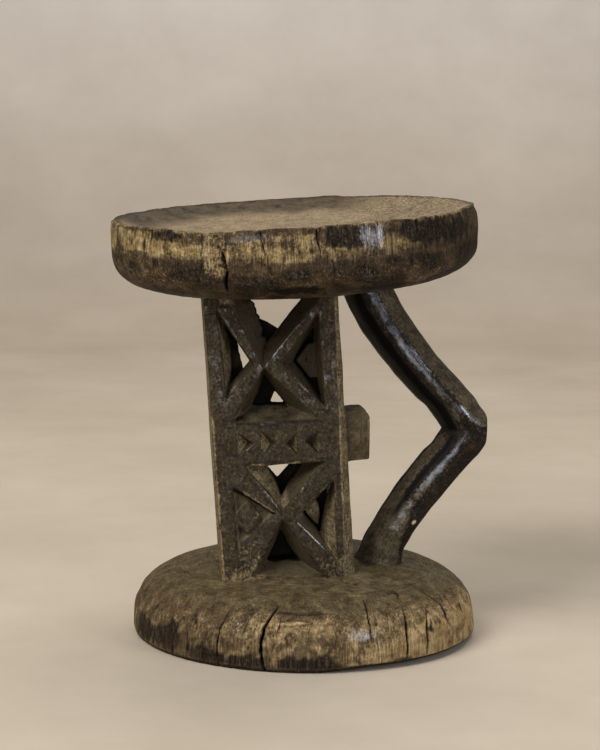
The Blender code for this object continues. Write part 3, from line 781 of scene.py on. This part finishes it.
def skin(field, low, step):
    """Surface of a field of distances on a cubic grid, closed, as points and four-cornered faces.

    Each cell that the surface crosses gets one point, the mean of the crossings on its edges, and each
    grid edge that it crosses gets one face, between the four cells round that edge.
    """
    inside = field < 0
    counts = np.zeros(tuple(n - 1 for n in field.shape), np.int8)
    for corner in np.ndindex(2, 2, 2):
        counts += inside[tuple(slice(c, n - 1 + c) for c, n in zip(corner, field.shape))]
    cells = np.argwhere((counts > 0) & (counts < 8))
    number = np.full(counts.shape, -1, np.int64)
    number[tuple(cells.T)] = np.arange(len(cells))
    total = np.zeros((len(cells), 3))
    crossings = np.zeros(len(cells))
    for axis in range(3):
        others = [i for i in range(3) if i != axis]
        for offset in np.ndindex(2, 2):
            start = cells.copy()
            start[:, others] += np.array(offset)
            end = start.copy()
            end[:, axis] += 1
            one, other = field[tuple(start.T)].astype(float), field[tuple(end.T)].astype(float)
            crossed = (one < 0) != (other < 0)
            share = np.where(crossed, one / np.where(crossed, one - other, 1), 0)
            place = start.astype(float)
            place[:, axis] += share
            total += place * crossed[:, None]
            crossings += crossed
    points = total / crossings[:, None] * step + np.asarray(low)
    faces = []
    for axis in range(3):
        others = [i for i in range(3) if i != axis]
        first, last = [slice(None)] * 3, [slice(None)] * 3
        first[axis], last[axis] = slice(None, -1), slice(1, None)
        one, other = inside[tuple(first)], inside[tuple(last)]
        for leaving in (True, False):
            edges = np.argwhere((one & ~other) if leaving else (~one & other))
            corners = []
            for shift in ((1, 1), (0, 1), (0, 0), (1, 0)):
                cell = edges.copy()
                cell[:, others[0]] -= shift[0]
                cell[:, others[1]] -= shift[1]
                corners.append(number[tuple(cell.T)])
            quads = np.stack(corners, axis=1)
            flip = leaving if axis != 1 else not leaving
            faces.append(quads if flip else quads[:, ::-1])
    return points, np.concatenate(faces)


def box_mean(values, reach):
    """Mean of a grid over a cube of cells round each one."""
    size = 2 * reach + 1
    for axis in range(3):
        pad = [(reach + 1, reach) if i == axis else (0, 0) for i in range(3)]
        padded = np.pad(values, pad, mode="edge")
        summed = np.moveaxis(np.cumsum(padded, axis=axis, dtype=np.float64), axis, 0)
        values = np.moveaxis((summed[size:] - summed[:-size]) / size, 0, axis).astype(np.float32)
    return values


def sample(values, points, low, step):
    """Values of a grid at points, blended between its eight nearest cells."""
    place = np.clip((points - low) / step, 0, np.array(values.shape) - 1.001)
    cell = place.astype(int)
    ease = place - cell
    total = np.zeros(len(points))
    for corner in np.ndindex(2, 2, 2):
        share = np.prod(np.where(np.array(corner) == 1, ease, 1 - ease), axis=1)
        total += share * values[tuple((cell + np.array(corner)).T)]
    return total


def make_column():
    """The openwork column with its lug: the skin of its field of distances, roughened by knife and wear."""
    low, high = COLUMN_LOW, COLUMN_HIGH
    across, depth, upward = column_axes()
    u, v, w = (np.arange(low[i], high[i], COLUMN_STEP, dtype=np.float32) for i in range(3))
    u, v, w = u[:, None, None], v[None, :, None], w[None, None, :]
    # Waviness left by the knife, from a grid four times as coarse
    rough = np.stack(np.broadcast_arrays(u[::4], v[:, ::4], w[..., ::4]), axis=-1)
    coarse = 0.5 * layered(rough, (13.0, 13.0, 24.0), 200, 2)
    coarse = coarse.repeat(4, 0).repeat(4, 1).repeat(4, 2)[: u.shape[0], : v.shape[1], : w.shape[2]]
    field = column_field(u, v, w) + box_mean(coarse.astype(np.float32), 3)
    # Ends a little way inside the seat's underside and the base's dome
    x, y, z = (COLUMN_FOOT[i] + across[i] * u + depth[i] * v + upward[i] * w for i in range(3))
    seat_x = (x - SEAT_CENTRE[0]) * math.cos(SEAT_TILT) + (z - SEAT_CENTRE[2]) * math.sin(SEAT_TILT)
    seat_z = (z - SEAT_CENTRE[2]) * math.cos(SEAT_TILT) - (x - SEAT_CENTRE[0]) * math.sin(SEAT_TILT)
    radius = np.hypot(seat_x, y - SEAT_CENTRE[1])
    drop = SEAT_THICKNESS - SEAT_WIDEST_DROP
    under = -SEAT_WIDEST_DROP - rounded_fall(radius, SEAT_RADIUS, drop, SEAT_POWER)
    field = np.maximum(field, seat_z - under - EMBED)
    crown = BASE_WIDEST + rounded_fall(np.hypot(x, y), BASE_RADIUS, BASE_HEIGHT - BASE_WIDEST, BASE_POWER)
    field = np.maximum(field, crown - EMBED - z).astype(np.float32)
    points, faces = skin(field, low, COLUMN_STEP)
    filled = (field < 0).astype(np.float32)
    crease = sample(box_mean(filled, 3), points, low, COLUMN_STEP)
    world = COLUMN_FOOT + points[:, :1] * across + points[:, 1:2] * depth + points[:, 2:] * upward
    nodes = [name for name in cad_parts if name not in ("seat", "base", "leg_thigh", "leg_shin")]
    piece = add_piece("column_carving", world, faces.tolist(), nodes)
    modifier = piece.modifiers.new("flat faces thinned out", "DECIMATE")
    modifier.ratio = COLUMN_KEPT
    paint_column(piece, points, world, crease)
    return piece


def paint_column(piece, points, world, crease):
    """Paint of the column: handled faces, bright edges, painted light on lit walls, the chamfer and the
    chips' floors, painted shade in the hollows, and scored lines.

    Points are across, into and up the column, and crease is the share of wood round each of them.
    """
    u, v, w = points.T
    # Depth from the nearer of the front and rear faces
    into = np.minimum(v, COLUMN_DEPTH - v)
    within = smoothstep(38.0, 35.0, np.abs(u)) * smoothstep(-2.0, 2.0, w)
    upper = smoothstep(105, 122, w)
    face = smoothstep(3.2, 0.9, into)
    stain = layered(points, (9.0, 9.0, 14.0), 220, 3)
    crumb = layered(points, (3.0, 3.0, 4.0), 226, 2)
    edge = smoothstep(0.44, 0.34, crease) * (0.2 + 0.6 * stain) * (1 - 0.9 * upper)
    rubbed = np.exp(-((u + 45.6) / 0.65) ** 2) * smoothstep(4.0, 1.0, v) * smoothstep(135, 100, w)
    edge = np.maximum(edge, rubbed * (1.0 + 1.2 * stain))
    foot = smoothstep(32, 6, w + 9 * stain) * smoothstep(-8, -22, u) * smoothstep(8.0, 4.0, v)
    edge = np.maximum(edge, foot * (0.6 + 0.25 * crumb))
    right_foot = smoothstep(22, 8, w + 6 * stain) * smoothstep(16, 24, u) * smoothstep(4.0, 1.5, v)
    edge = np.maximum(edge, 0.34 * right_foot)
    # Painted light laid in as rubbed colour: the lit left wall of the opening under the band, the lit right
    # wall of the right opening, and the lit chamfer of the front right edge
    wall = smoothstep(2.0, 5.0, v) * smoothstep(15.0, 11.0, v) * (1 - upper)
    edge = np.maximum(edge, 0.6 * wall * smoothstep(48, 56, w) * smoothstep(2, -2, u))
    fibres = layered(points, (2.2, 2.2, 22.0), 240, 2)
    edge = np.maximum(edge, wall * smoothstep(31, 34, u) * (u < 40) * (0.5 + 0.7 * fibres))
    bevel = smoothstep(-1.3, -0.3, front_bevel(u, v, w)) * (u < 46.4) * (v < 14)
    edge = np.maximum(edge, bevel * (0.25 + 0.4 * stain + 0.4 * fibres))
    # The band's chips: painted light on the floor and painted shade on the steep walls
    notch = 0 * u
    for one, two, three, floor, _ in CHIPS[:BAND_CHIPS]:
        lines = [(one, two, 0.0), (two, three, 0.0), (three, one, 0.0)]
        lit = smoothstep(0.0, 1.0, opening(u, 0 * v, w, lines, NO_FLOOR)) * (into < 12)
        level = np.exp(-((wall_distance(u, into, w, (one, two, floor)) / 0.7) ** 2))
        edge = np.maximum(edge, 0.5 * lit * level * smoothstep(0.3, 1.0, into))
        notch = np.maximum(notch, 0.8 * lit * (1 - level) * smoothstep(0.3, 1.0, into))
    face = np.maximum(face * (1 - bevel), 0.5 * smoothstep(12.4, 11.6, v) * (u > 46.2))
    # Painted shade deep in the hollows, on the walls of the upper openings under the seat, and on the low
    # walls near the foot
    soot = smoothstep(15.5, 20.0, into + 1.5 * stain) * within
    soot = np.maximum(soot, 0.68 * upper * smoothstep(0.6, 3.0, into) * within * smoothstep(-30, -24, u))
    soot = np.maximum(soot, (0.35 + 0.3 * stain) * smoothstep(14, 6, w) * smoothstep(1.5, 4.0, v) * within)
    shelf = np.exp(-((wall_distance(u, v, w, FRONT_OPENINGS["upper_bottom"][2]) / 1.4) ** 2))
    shelf = shelf * smoothstep(0.8, 2.5, v) * (v < 22) * within
    soot = np.maximum(soot, (0.62 + 0.3 * stain) * shelf)
    # Painted shade on the right walls of the opening under the band and on the walls of the lowest opening
    shade = smoothstep(0.8, 3.0, v) * (v < 24) * (1 - upper) * within
    soot = np.maximum(soot, 0.62 * shade * smoothstep(0, 4, u) * smoothstep(50, 58, w))
    soot = np.maximum(soot, 0.55 * shade * smoothstep(46, 40, w) * smoothstep(29, 25, np.abs(u)))
    # Painted shade on the chips' steep walls
    soot = np.maximum(soot, notch)
    club = np.exp(-((u + 29.5) / 4.5) ** 2 - ((w - 182.0) / 8.0) ** 2) * face
    soot = np.maximum(soot, 0.6 * club)
    # Painted shade under the upper wall of the shallow cut beside the lump
    underside = wall_distance(u, 0 * v, w, SHALLOW_CUTS[0][0][0])
    overhang_shade = (underside > -0.5) * (v > 1.6) * (v < 12) * (u < -7)
    soot = np.maximum(soot, 0.95 * smoothstep(3.2, 1.4, underside) * overhang_shade)
    # Painted shade on the floor of the pocket round the lump
    pocket = opening(u, 0 * v, w, leaning(SHALLOW_CUTS[0][0], 0.0, 0.0, 0.0), NO_FLOOR)
    soot = np.maximum(soot, 0.6 * smoothstep(0.3, 1.5, pocket) * smoothstep(1.8, 4.0, v) * (v < 12))
    # Scored lines along the band's ledge and beside the openings
    groove = np.exp(-((w - 111.0 + 0.034 * u) / 0.75) ** 2) * (np.abs(u) < 30) * smoothstep(5.0, 2.0, v)
    for walls in FRONT_OPENINGS.values():
        away = opening(u, 0 * v, w, leaning(walls, 0.0, 0.0, 0.0), NO_FLOOR)
        line = np.exp(-((away + 2.1) / 0.5) ** 2) * face * smoothstep(-0.3, 0.3, stain)
        groove = np.maximum(groove, 0.7 * line)
    gloss = face * (0.03 + 0.7 * crumb * upper + 0.08 * stain) + 0.5 * club
    gloss += 0.45 * smoothstep(0.48, 0.38, crease) * smoothstep(5.0, 1.0, v) * smoothstep(0.1, 0.6, stain)
    for start, end in SHINING_EDGES:
        away = np.abs(wall_distance(u, 0 * v, w, (start, end, 0.0)))
        run, rise = end[0] - start[0], end[1] - start[1]
        along = ((u - start[0]) * run + (w - start[1]) * rise) / math.dist(start, end) ** 2
        ends = smoothstep(-0.05, 0.1, along) * smoothstep(1.05, 0.9, along)
        gloss += np.exp(-((away / 0.9) ** 2)) * smoothstep(3.0, 1.0, v) * ends
    write_attributes(piece, world, worn=edge, soot=soot, gloss=gloss, top=1.35 * face, cut=0.8 * groove)


def leg_path(line, share):
    """Smooth centre line through a row of points, and its direction, at each share of its length."""
    knots = np.array(line)
    length = np.append(0, np.cumsum(np.hypot(*np.diff(knots, axis=0).T)))
    fine = np.linspace(0, 1, 400)
    path = np.stack([np.interp(fine * length[-1], length, knots[:, i]) for i in range(2)], axis=1)
    for _ in range(120):
        path[1:-1] = (path[:-2] + 2 * path[1:-1] + path[2:]) / 4
    path = np.stack([np.interp(share, fine, path[:, i]) for i in range(2)], axis=1)
    along = np.gradient(path, share, axis=0)
    return path, along / np.hypot(along[:, 0], along[:, 1])[:, None]


def make_leg():
    """The leg: a many-sided section carried along the bent path, its rings fanned to be level at the knee."""
    share = np.concatenate([np.linspace(0, 0.86, 120), np.linspace(0.86, 1.0, 60)[1:]])
    turn = np.linspace(-180, 180, 200, endpoint=False)[None, :]
    rings = []
    for line in (THIGH_LINE, SHIN_LINE):
        path, along = leg_path(line, share)
        ease, part = share, share
        if line is SHIN_LINE:
            path, along, ease, part = path[::-1], -along[::-1], share[::-1], 2 - share[::-1]
        outer = np.stack([-along[:, 1], along[:, 0]], axis=1)
        sides = 0
        for i, facet in enumerate(LEG_FACETS):
            wander = 3 if i == POLISHED_FACET else 9
            drift = np.stack([part * 2.2, part * 0 + i, part * 0], axis=-1)
            lean = facet + wander * noise(drift, 1.0, 310)[:, None]
            if i == POLISHED_FACET:
                lean = lean - 11 * smoothstep(0.5, 0.9, part)[:, None]
            drift = np.stack([part * 3.0, part * 0 + 7 * i, part * 0], axis=-1)
            reach = 1.0 + 0.055 * noise(drift, 1.0, 320)[:, None]
            sides = sides + (np.maximum(np.cos(np.radians(turn - lean)), 0) / reach) ** FACET_POWER
        bulge = np.exp(-((part - 1.0) / 0.13) ** 2)
        swell = np.interp(part, *LEG_SWELL)
        radius = LEG_RADIUS / sides ** (1 / FACET_POWER) * swell[:, None]
        facing = np.cos(np.radians(turn))
        radius = radius * (1 + bulge[:, None] * (0.27 * np.maximum(facing, 0) - 0.1 * np.maximum(-facing, 0)))
        reach = radius * np.cos(np.radians(turn))
        slide = reach * (smoothstep(0.15, 1.0, ease) * -(outer[:, 1] / along[:, 1]))[:, None]
        x = path[:, :1] + reach * outer[:, :1] + slide * along[:, :1]
        z = path[:, 1:] + reach * outer[:, 1:] + slide * along[:, 1:]
        y = -LEG_SETBACK + radius * np.sin(np.radians(turn))
        x = -smooth_max(-x, -KNEE_FACE + 0.3 + 0 * x, 2.0)
        rings.append(np.stack([x, y, z], axis=-1))
    grid = np.concatenate([rings[0], rings[1][1:]])
    out = grid - grid.mean(axis=1, keepdims=True)
    out /= np.linalg.norm(out, axis=-1, keepdims=True)
    grid = grid + out * (0.16 * layered(grid, 9.0, 330) + 0.25 * layered(grid, 30.0, 335))[..., None]
    grid[..., 0] = np.minimum(grid[..., 0], KNEE_FACE)
    points, faces = closed_grid(grid, grid[0].mean(axis=0), grid[-1].mean(axis=0), False)
    piece = add_piece("leg_carving", points, faces, ["leg_thigh", "leg_shin"])
    paint_leg(piece, grid, share, turn)
    return piece


def paint_leg(piece, grid, share, turn):
    """Paint of the leg: polish along one facet and over the knee, painted shade on the inner side, dull foot,
    a painted highlight on the lower shin, a pale chip.
    """
    part = np.concatenate([share, 2 - share[::-1][1:]])[:, None]
    stain = layered(grid, (8.0, 8.0, 8.0), 340, 3)
    patchy = turn + 3 * stain
    middle = -86 - 10 * smoothstep(0.5, 0.9, part)
    sparkle = 0.85 + 0.5 * layered(grid, 20.0, 345) + 0.4 * layered(grid, 4.0, 347, 2)
    strength = np.interp(part, *LEG_POLISH)
    width = np.interp(part, *LEG_POLISH_WIDTH)
    gloss = strength * np.exp(-((patchy - middle) / width) ** 2) * sparkle
    slant = np.interp(part, [0.8, 0.98], [-84, -44])
    gloss += 1.2 * np.exp(-((turn - slant) / 11) ** 2 - ((part - 0.9) / 0.07) ** 4) * (0.6 + 0.4 * sparkle)
    # Painted shade on the inner side, black where it faces down and away from the light, and a dark band
    # along the shin
    inner_shade = smoothstep(-106, -124, patchy) * smoothstep(1.03, 0.97, part)
    groove = np.exp(-((patchy + 123) / 10) ** 2) * smoothstep(0.98, 1.05, part) * smoothstep(1.75, 1.6, part)
    inner_shade = np.maximum(inner_shade, 0.7 * groove)
    foot = smoothstep(1.5, 1.66, part + 0.006 * np.minimum(-90 - turn, 10) + 0.04 * stain)
    matte_and_highlight = smoothstep(-80, -58, patchy) * smoothstep(1.02, 0.9, part) + 1.2 * foot
    matte_and_highlight = np.maximum(matte_and_highlight, 1.2 * smoothstep(-130, -142, patchy) * smoothstep(1.02, 1.1, part))
    # Painted highlight: the lower shin lightened along the polished facet
    matte_and_highlight = np.maximum(matte_and_highlight, 0.95 * np.exp(-((patchy - middle) / 10) ** 2) * smoothstep(1.3, 1.45, part))
    red = 0.8 * np.exp(-((turn + 62) / 18) ** 2 - ((part - 1.12) / 0.06) ** 2)
    chip = smoothstep(1.0, 0.55, np.hypot((turn + 57) / 8, (part - 1.635) / 0.016))
    around, down = np.radians(turn) * LEG_RADIUS + 0 * part, 120 * part + 0 * turn
    flow = np.stack([around, 0 * around, down], axis=-1)
    values = {"worn": 0.7 * red, "soot": 1.3 * inner_shade, "gloss": gloss, "top": 1.3 * matte_and_highlight, "cut": chip}
    write_grid(piece, flow, flow[0, :2], values, {})


def linear(code):
    """Linear red, green and blue of an sRGB hex colour."""
    values = np.array([int(code[i : i + 2], 16) for i in (1, 3, 5)]) / 255
    return (*np.where(values <= 0.04045, values / 12.92, ((values + 0.055) / 1.055) ** 2.4), 1.0)


def add(tree, kind, inputs=(), stops=(), **settings):
    """Adds a shader node with its settings, colour stops and inputs, each a socket to link or a constant."""
    made = tree.nodes.new("ShaderNode" + kind)
    for key, value in settings.items():
        setattr(made, key, value)
    for i, (place, code) in enumerate(stops):
        element = made.color_ramp.elements[i] if i < 2 else made.color_ramp.elements.new(place)
        element.position, element.color = place, linear(code)
    for key, value in dict(inputs).items():
        if isinstance(value, bpy.types.NodeSocket):
            tree.links.new(value, made.inputs[key])
        else:
            made.inputs[key].default_value = value
    return made


def wood(name, body, worn, soot, top, cut, fibre_size, grit, crust, checks, rough):
    """Old hardwood from the piece's painted attributes, broken up by fibres, mottling and specks.

    body, worn, soot and top are colours from dark to light, the second also laid in as painted light and the
    third as painted shade, and cut is the colour in cracks. fibre_size is in millimetres, grit the share of
    specks among the fibres, crust the strength of their relief, checks that of hairline drying cracks, and
    rough the roughness where dull and where polished.
    """
    material = bpy.data.materials.new(name)
    material.use_nodes = True
    tree = material.node_tree
    shader = tree.nodes["Principled BSDF"]
    place = add(tree, "TexCoord").outputs["Object"]
    flow = add(tree, "Attribute", attribute_name="flow").outputs["Vector"]
    noises = []
    for vector, size, detail, roughness in (
        (place, MOTTLE_SIZE, 7.0, 0.7),
        (flow, fibre_size, 5.0, 0.68),
        (place, SPECK_SIZE, 3.0, 0.6),
        (flow, [HAIR_SPACING * width for width in fibre_size], 3.0, 0.5),
    ):
        scale = tuple(1 / (MM * width) for width in size)
        spread = add(tree, "Mapping", {"Vector": vector, "Scale": scale}).outputs[0]
        settings = {"Vector": spread, "Scale": 1.0, "Detail": detail, "Roughness": roughness}
        noises.append(add(tree, "TexNoise", settings).outputs[0])
    mottle, fibre, speck, hairs = noises
    fine = add(tree, "Mix", {0: grit, 2: fibre, 3: speck}).outputs[0]
    tone = add(tree, "Mix", {0: 0.35 + 0.5 * grit, 2: mottle, 3: fine}).outputs[0]
    # How far each paint covers: its attribute, with an edge that the wood's own pattern breaks up
    shares = []
    for paint, breaker, strength, low, high in (
        ("top", speck, 2.6, 1.57, 2.23),
        ("worn", tone, 2.6, 1.57, 2.23),
        ("soot", tone, 2.6, 1.57, 2.23),
        ("gloss", fine, 2.0, 1.3, 2.2),
    ):
        value = add(tree, "Attribute", attribute_name=paint).outputs["Fac"]
        broken = add(tree, "Math", {0: breaker, 1: strength, 2: value}, operation="MULTIPLY_ADD").outputs[0]
        shares.append(add(tree, "MapRange", {"Value": broken, 1: low, 2: high}).outputs[0])
    *shares, polish = shares
    stops = [(0.485, "#000000"), (0.5, "#ffffff"), (0.515, "#000000")]
    hairs = add(tree, "ValToRGB", {0: hairs}, stops).outputs[0]
    hairs = add(tree, "Math", {0: hairs, 1: checks}, operation="MULTIPLY").outputs[0]
    cracks = add(tree, "Attribute", attribute_name="cut").outputs["Fac"]
    # Body colour, then each paint over it, then hairline and open cracks
    tints = []
    for value, codes in ((tone, body), (tone, top), (tone, worn), (fine, soot)):
        stops = list(zip(np.linspace(0.4, 0.61, len(codes)), codes))
        tints.append(add(tree, "ValToRGB", {0: value}, stops).outputs[0])
    colour, *coats = tints
    for share, coat in zip([*shares, hairs, cracks], [*coats, linear(cut), linear(cut)]):
        colour = add(tree, "Mix", {0: share, 6: colour, 7: coat}, data_type="RGBA").outputs[2]
    dull = add(tree, "MapRange", {"Value": polish, 3: rough[0], 4: rough[1]}).outputs[0]
    relief = add(tree, "Bump", {"Strength": crust, "Distance": 0.6 * MM, "Height": fine}).outputs[0]
    dented = {"Strength": 0.5, "Distance": 1.2 * MM, "Height": mottle, "Normal": relief}
    relief = add(tree, "Bump", dented).outputs[0]
    glint = add(tree, "Bump", {"Strength": 0.6, "Distance": 0.3 * MM, "Height": fine}).outputs[0]
    sockets = {"Base Color": colour, "Roughness": dull, "Coat Weight": polish}
    sockets |= {"Normal": relief, "Coat Normal": glint}
    for key, socket in sockets.items():
        tree.links.new(socket, shader.inputs[key])
    shader.inputs["Specular IOR Level"].default_value = 0.1
    shader.inputs["Coat IOR"].default_value = 1.9
    shader.inputs["Coat Roughness"].default_value = rough[1]
    return material


def backdrop(name, dark, light):
    """Pale painted canvas: clouding a hand or two across, between two rows of colours from floor to wall,
    paler up the wall as painted light.
    """
    material = bpy.data.materials.new(name)
    material.use_nodes = True
    tree = material.node_tree
    shader = tree.nodes["Principled BSDF"]
    place = add(tree, "TexCoord").outputs["Object"]
    settings = {"Vector": place, "Scale": 1 / CLOUD_SIZE, "Detail": 9.0, "Roughness": 0.65}
    cloud = add(tree, "TexNoise", settings).outputs[0]
    cloud = add(tree, "MapRange", {"Value": cloud, 1: 0.3, 2: 0.7}).outputs[0]
    # Paler going up the wall: painted light
    level = add(tree, "SeparateXYZ", {0: place}).outputs["Z"]
    level = add(tree, "MapRange", {"Value": level, 1: 0.0, 2: 0.46}).outputs[0]
    rows = [list(zip((0.0, 1.0, 0.35), row)) for row in (dark, light)]
    rows = [add(tree, "ValToRGB", {0: level}, stops).outputs[0] for stops in rows]
    colour = add(tree, "Mix", {0: cloud, 6: rows[0], 7: rows[1]}, data_type="RGBA").outputs[2]
    tree.links.new(colour, shader.inputs["Base Color"])
    shader.inputs["Roughness"].default_value = 0.9
    shader.inputs["Specular IOR Level"].default_value = 0.1
    return material


def make_camera():
    """The camera at the photograph's place, tilted down and rolled a little."""
    data = bpy.data.cameras.new("camera")
    data.lens = CAMERA_LENS
    data.sensor_width = 36.0
    data.clip_start = 0.05
    data.clip_end = 50.0
    camera = bpy.data.objects.new("camera", data)
    camera.location = np.array(CAMERA_PLACE) * MM
    pitch = Matrix.Rotation(math.radians(90 - CAMERA_PITCH), 3, "X")
    roll = Matrix.Rotation(math.radians(CAMERA_ROLL), 3, "Z")
    camera.rotation_euler = (pitch @ roll).to_euler()
    bpy.context.scene.collection.objects.link(camera)
    bpy.context.scene.camera = camera


def make_lamp(name, place, aim, size, power, colour):
    """A soft rectangular lamp at a place, turned to what it aims at."""
    lamp = bpy.data.lights.new(name, "AREA")
    lamp.color = linear(colour)[:3]
    lamp.energy = power
    lamp.shape = "RECTANGLE"
    lamp.size, lamp.size_y = size
    source = bpy.data.objects.new(name, lamp)
    source.location = place
    source.rotation_euler = (Vector(aim) - Vector(place)).to_track_quat("-Z", "Y").to_euler()
    bpy.context.scene.collection.objects.link(source)


def make_studio():
    """A pale floor sweeping up into a wall: straight, a quarter circle, straight; and the lamps around it."""
    turn = np.linspace(0, math.pi / 2, 25)
    wall = SWEEP_START + SWEEP_RADIUS
    y = np.concatenate([[-FLOOR_REACH], SWEEP_START + SWEEP_RADIUS * np.sin(turn), [wall]])
    z = np.concatenate([[0.0], SWEEP_RADIUS - SWEEP_RADIUS * np.cos(turn), [WALL_HEIGHT]])
    points = [(x, y[i], z[i]) for i in range(len(y)) for x in (-FLOOR_REACH, FLOOR_REACH)]
    mesh = bpy.data.meshes.new("floor")
    mesh.from_pydata(points, [], [(2 * i, 2 * i + 1, 2 * i + 3, 2 * i + 2) for i in range(len(y) - 1)])
    mesh.shade_smooth()
    floor = bpy.data.objects.new("floor", mesh)
    bpy.context.scene.collection.objects.link(floor)
    mesh.materials.append(backdrop("pale_painted_canvas", CANVAS_DARK, CANVAS_LIGHT))
    world = bpy.data.worlds.new("studio")
    bpy.context.scene.world = world
    world.use_nodes = True
    world.node_tree.nodes["Background"].inputs["Color"].default_value = (1, 1, 1, 1)
    world.node_tree.nodes["Background"].inputs["Strength"].default_value = 0.2
    for lamp in LAMPS:
        make_lamp(*lamp)


bpy.context.scene.view_settings.view_transform = "Standard"
make_camera()
make_studio()
materials = {
    # Adzed hardwood: brown side with ochre bare patches, darker lower side, dish polished by sitting and
    # painted shade on its far wall
    make_seat: wood(
        "adzed_hardwood_sat_smooth",
        body=["#1b140d", "#3a2d1e", "#554530", "#76644a"],
        worn=["#54452c", "#776440", "#968058", "#b6a37c"],
        soot=["#080604", "#18120c", "#2d2419", "#4a3e2e"],
        top=["#715f47", "#847258", "#958064", "#a99474"],
        cut="#0c0907", fibre_size=(0.9, 0.9, 10.0), grit=0.42, crust=0.7, checks=0.5, rough=(0.68, 0.24),
    ),
    # Adzed hardwood: olive top with fine tool lines, ochre rubbed side, dark damp patches at the foot,
    # painted shadow along its edge and painted highlights on the shoulder
    make_base: wood(
        "adzed_hardwood_floor_worn",
        body=["#36291a", "#4c3d29", "#605037", "#766345"],
        worn=["#6d5738", "#8b724c", "#a58b62", "#bca57a"],
        soot=["#0c0907", "#1f1811", "#33281c", "#4e4030"],
        top=["#382e1d", "#4d412b", "#62553a", "#796b4c"],
        cut="#0c0907", fibre_size=(1.2, 1.2, 16.0), grit=0.3, crust=0.8, checks=0.5, rough=(0.7, 0.28),
    ),
    # Knife-carved hardwood: olive cut walls, dark handled faces, tan edges and painted light on lit walls,
    # painted black shade in the hollows
    make_column: wood(
        "knife_carved_hardwood_handled",
        body=["#352c1f", "#574a36", "#74664c", "#938467"],
        worn=["#584830", "#6e5d40", "#847150", "#9d8a66"],
        soot=["#020101", "#060403", "#0c0806", "#171009"],
        top=["#221b13", "#30281d", "#3f3527", "#524735"],
        cut="#120d09", fibre_size=(1.6, 1.6, 3.5), grit=0.65, crust=0.85, checks=0.4, rough=(0.66, 0.26),
    ),
    # Hardwood rubbed near black by hands: one long polished facet between a black inner side, which is
    # painted shade, and dull brown facets
    make_leg: wood(
        "rubbed_hardwood_hand_polished",
        body=["#0b0806", "#19140f", "#2a2219", "#3f342a"],
        worn=["#1c100b", "#321d14", "#47291b", "#63412d"],
        soot=["#010101", "#030202", "#060504", "#0c0a08"],
        top=["#2b2419", "#3e3527", "#534836", "#6a5c47"],
        cut="#cdb88c", fibre_size=(1.0, 1.0, 12.0), grit=0.55, crust=0.6, checks=0.0, rough=(0.6, 0.2),
    ),
}
for make, material in materials.items():
    piece = make()
    piece.data.materials.append(material)
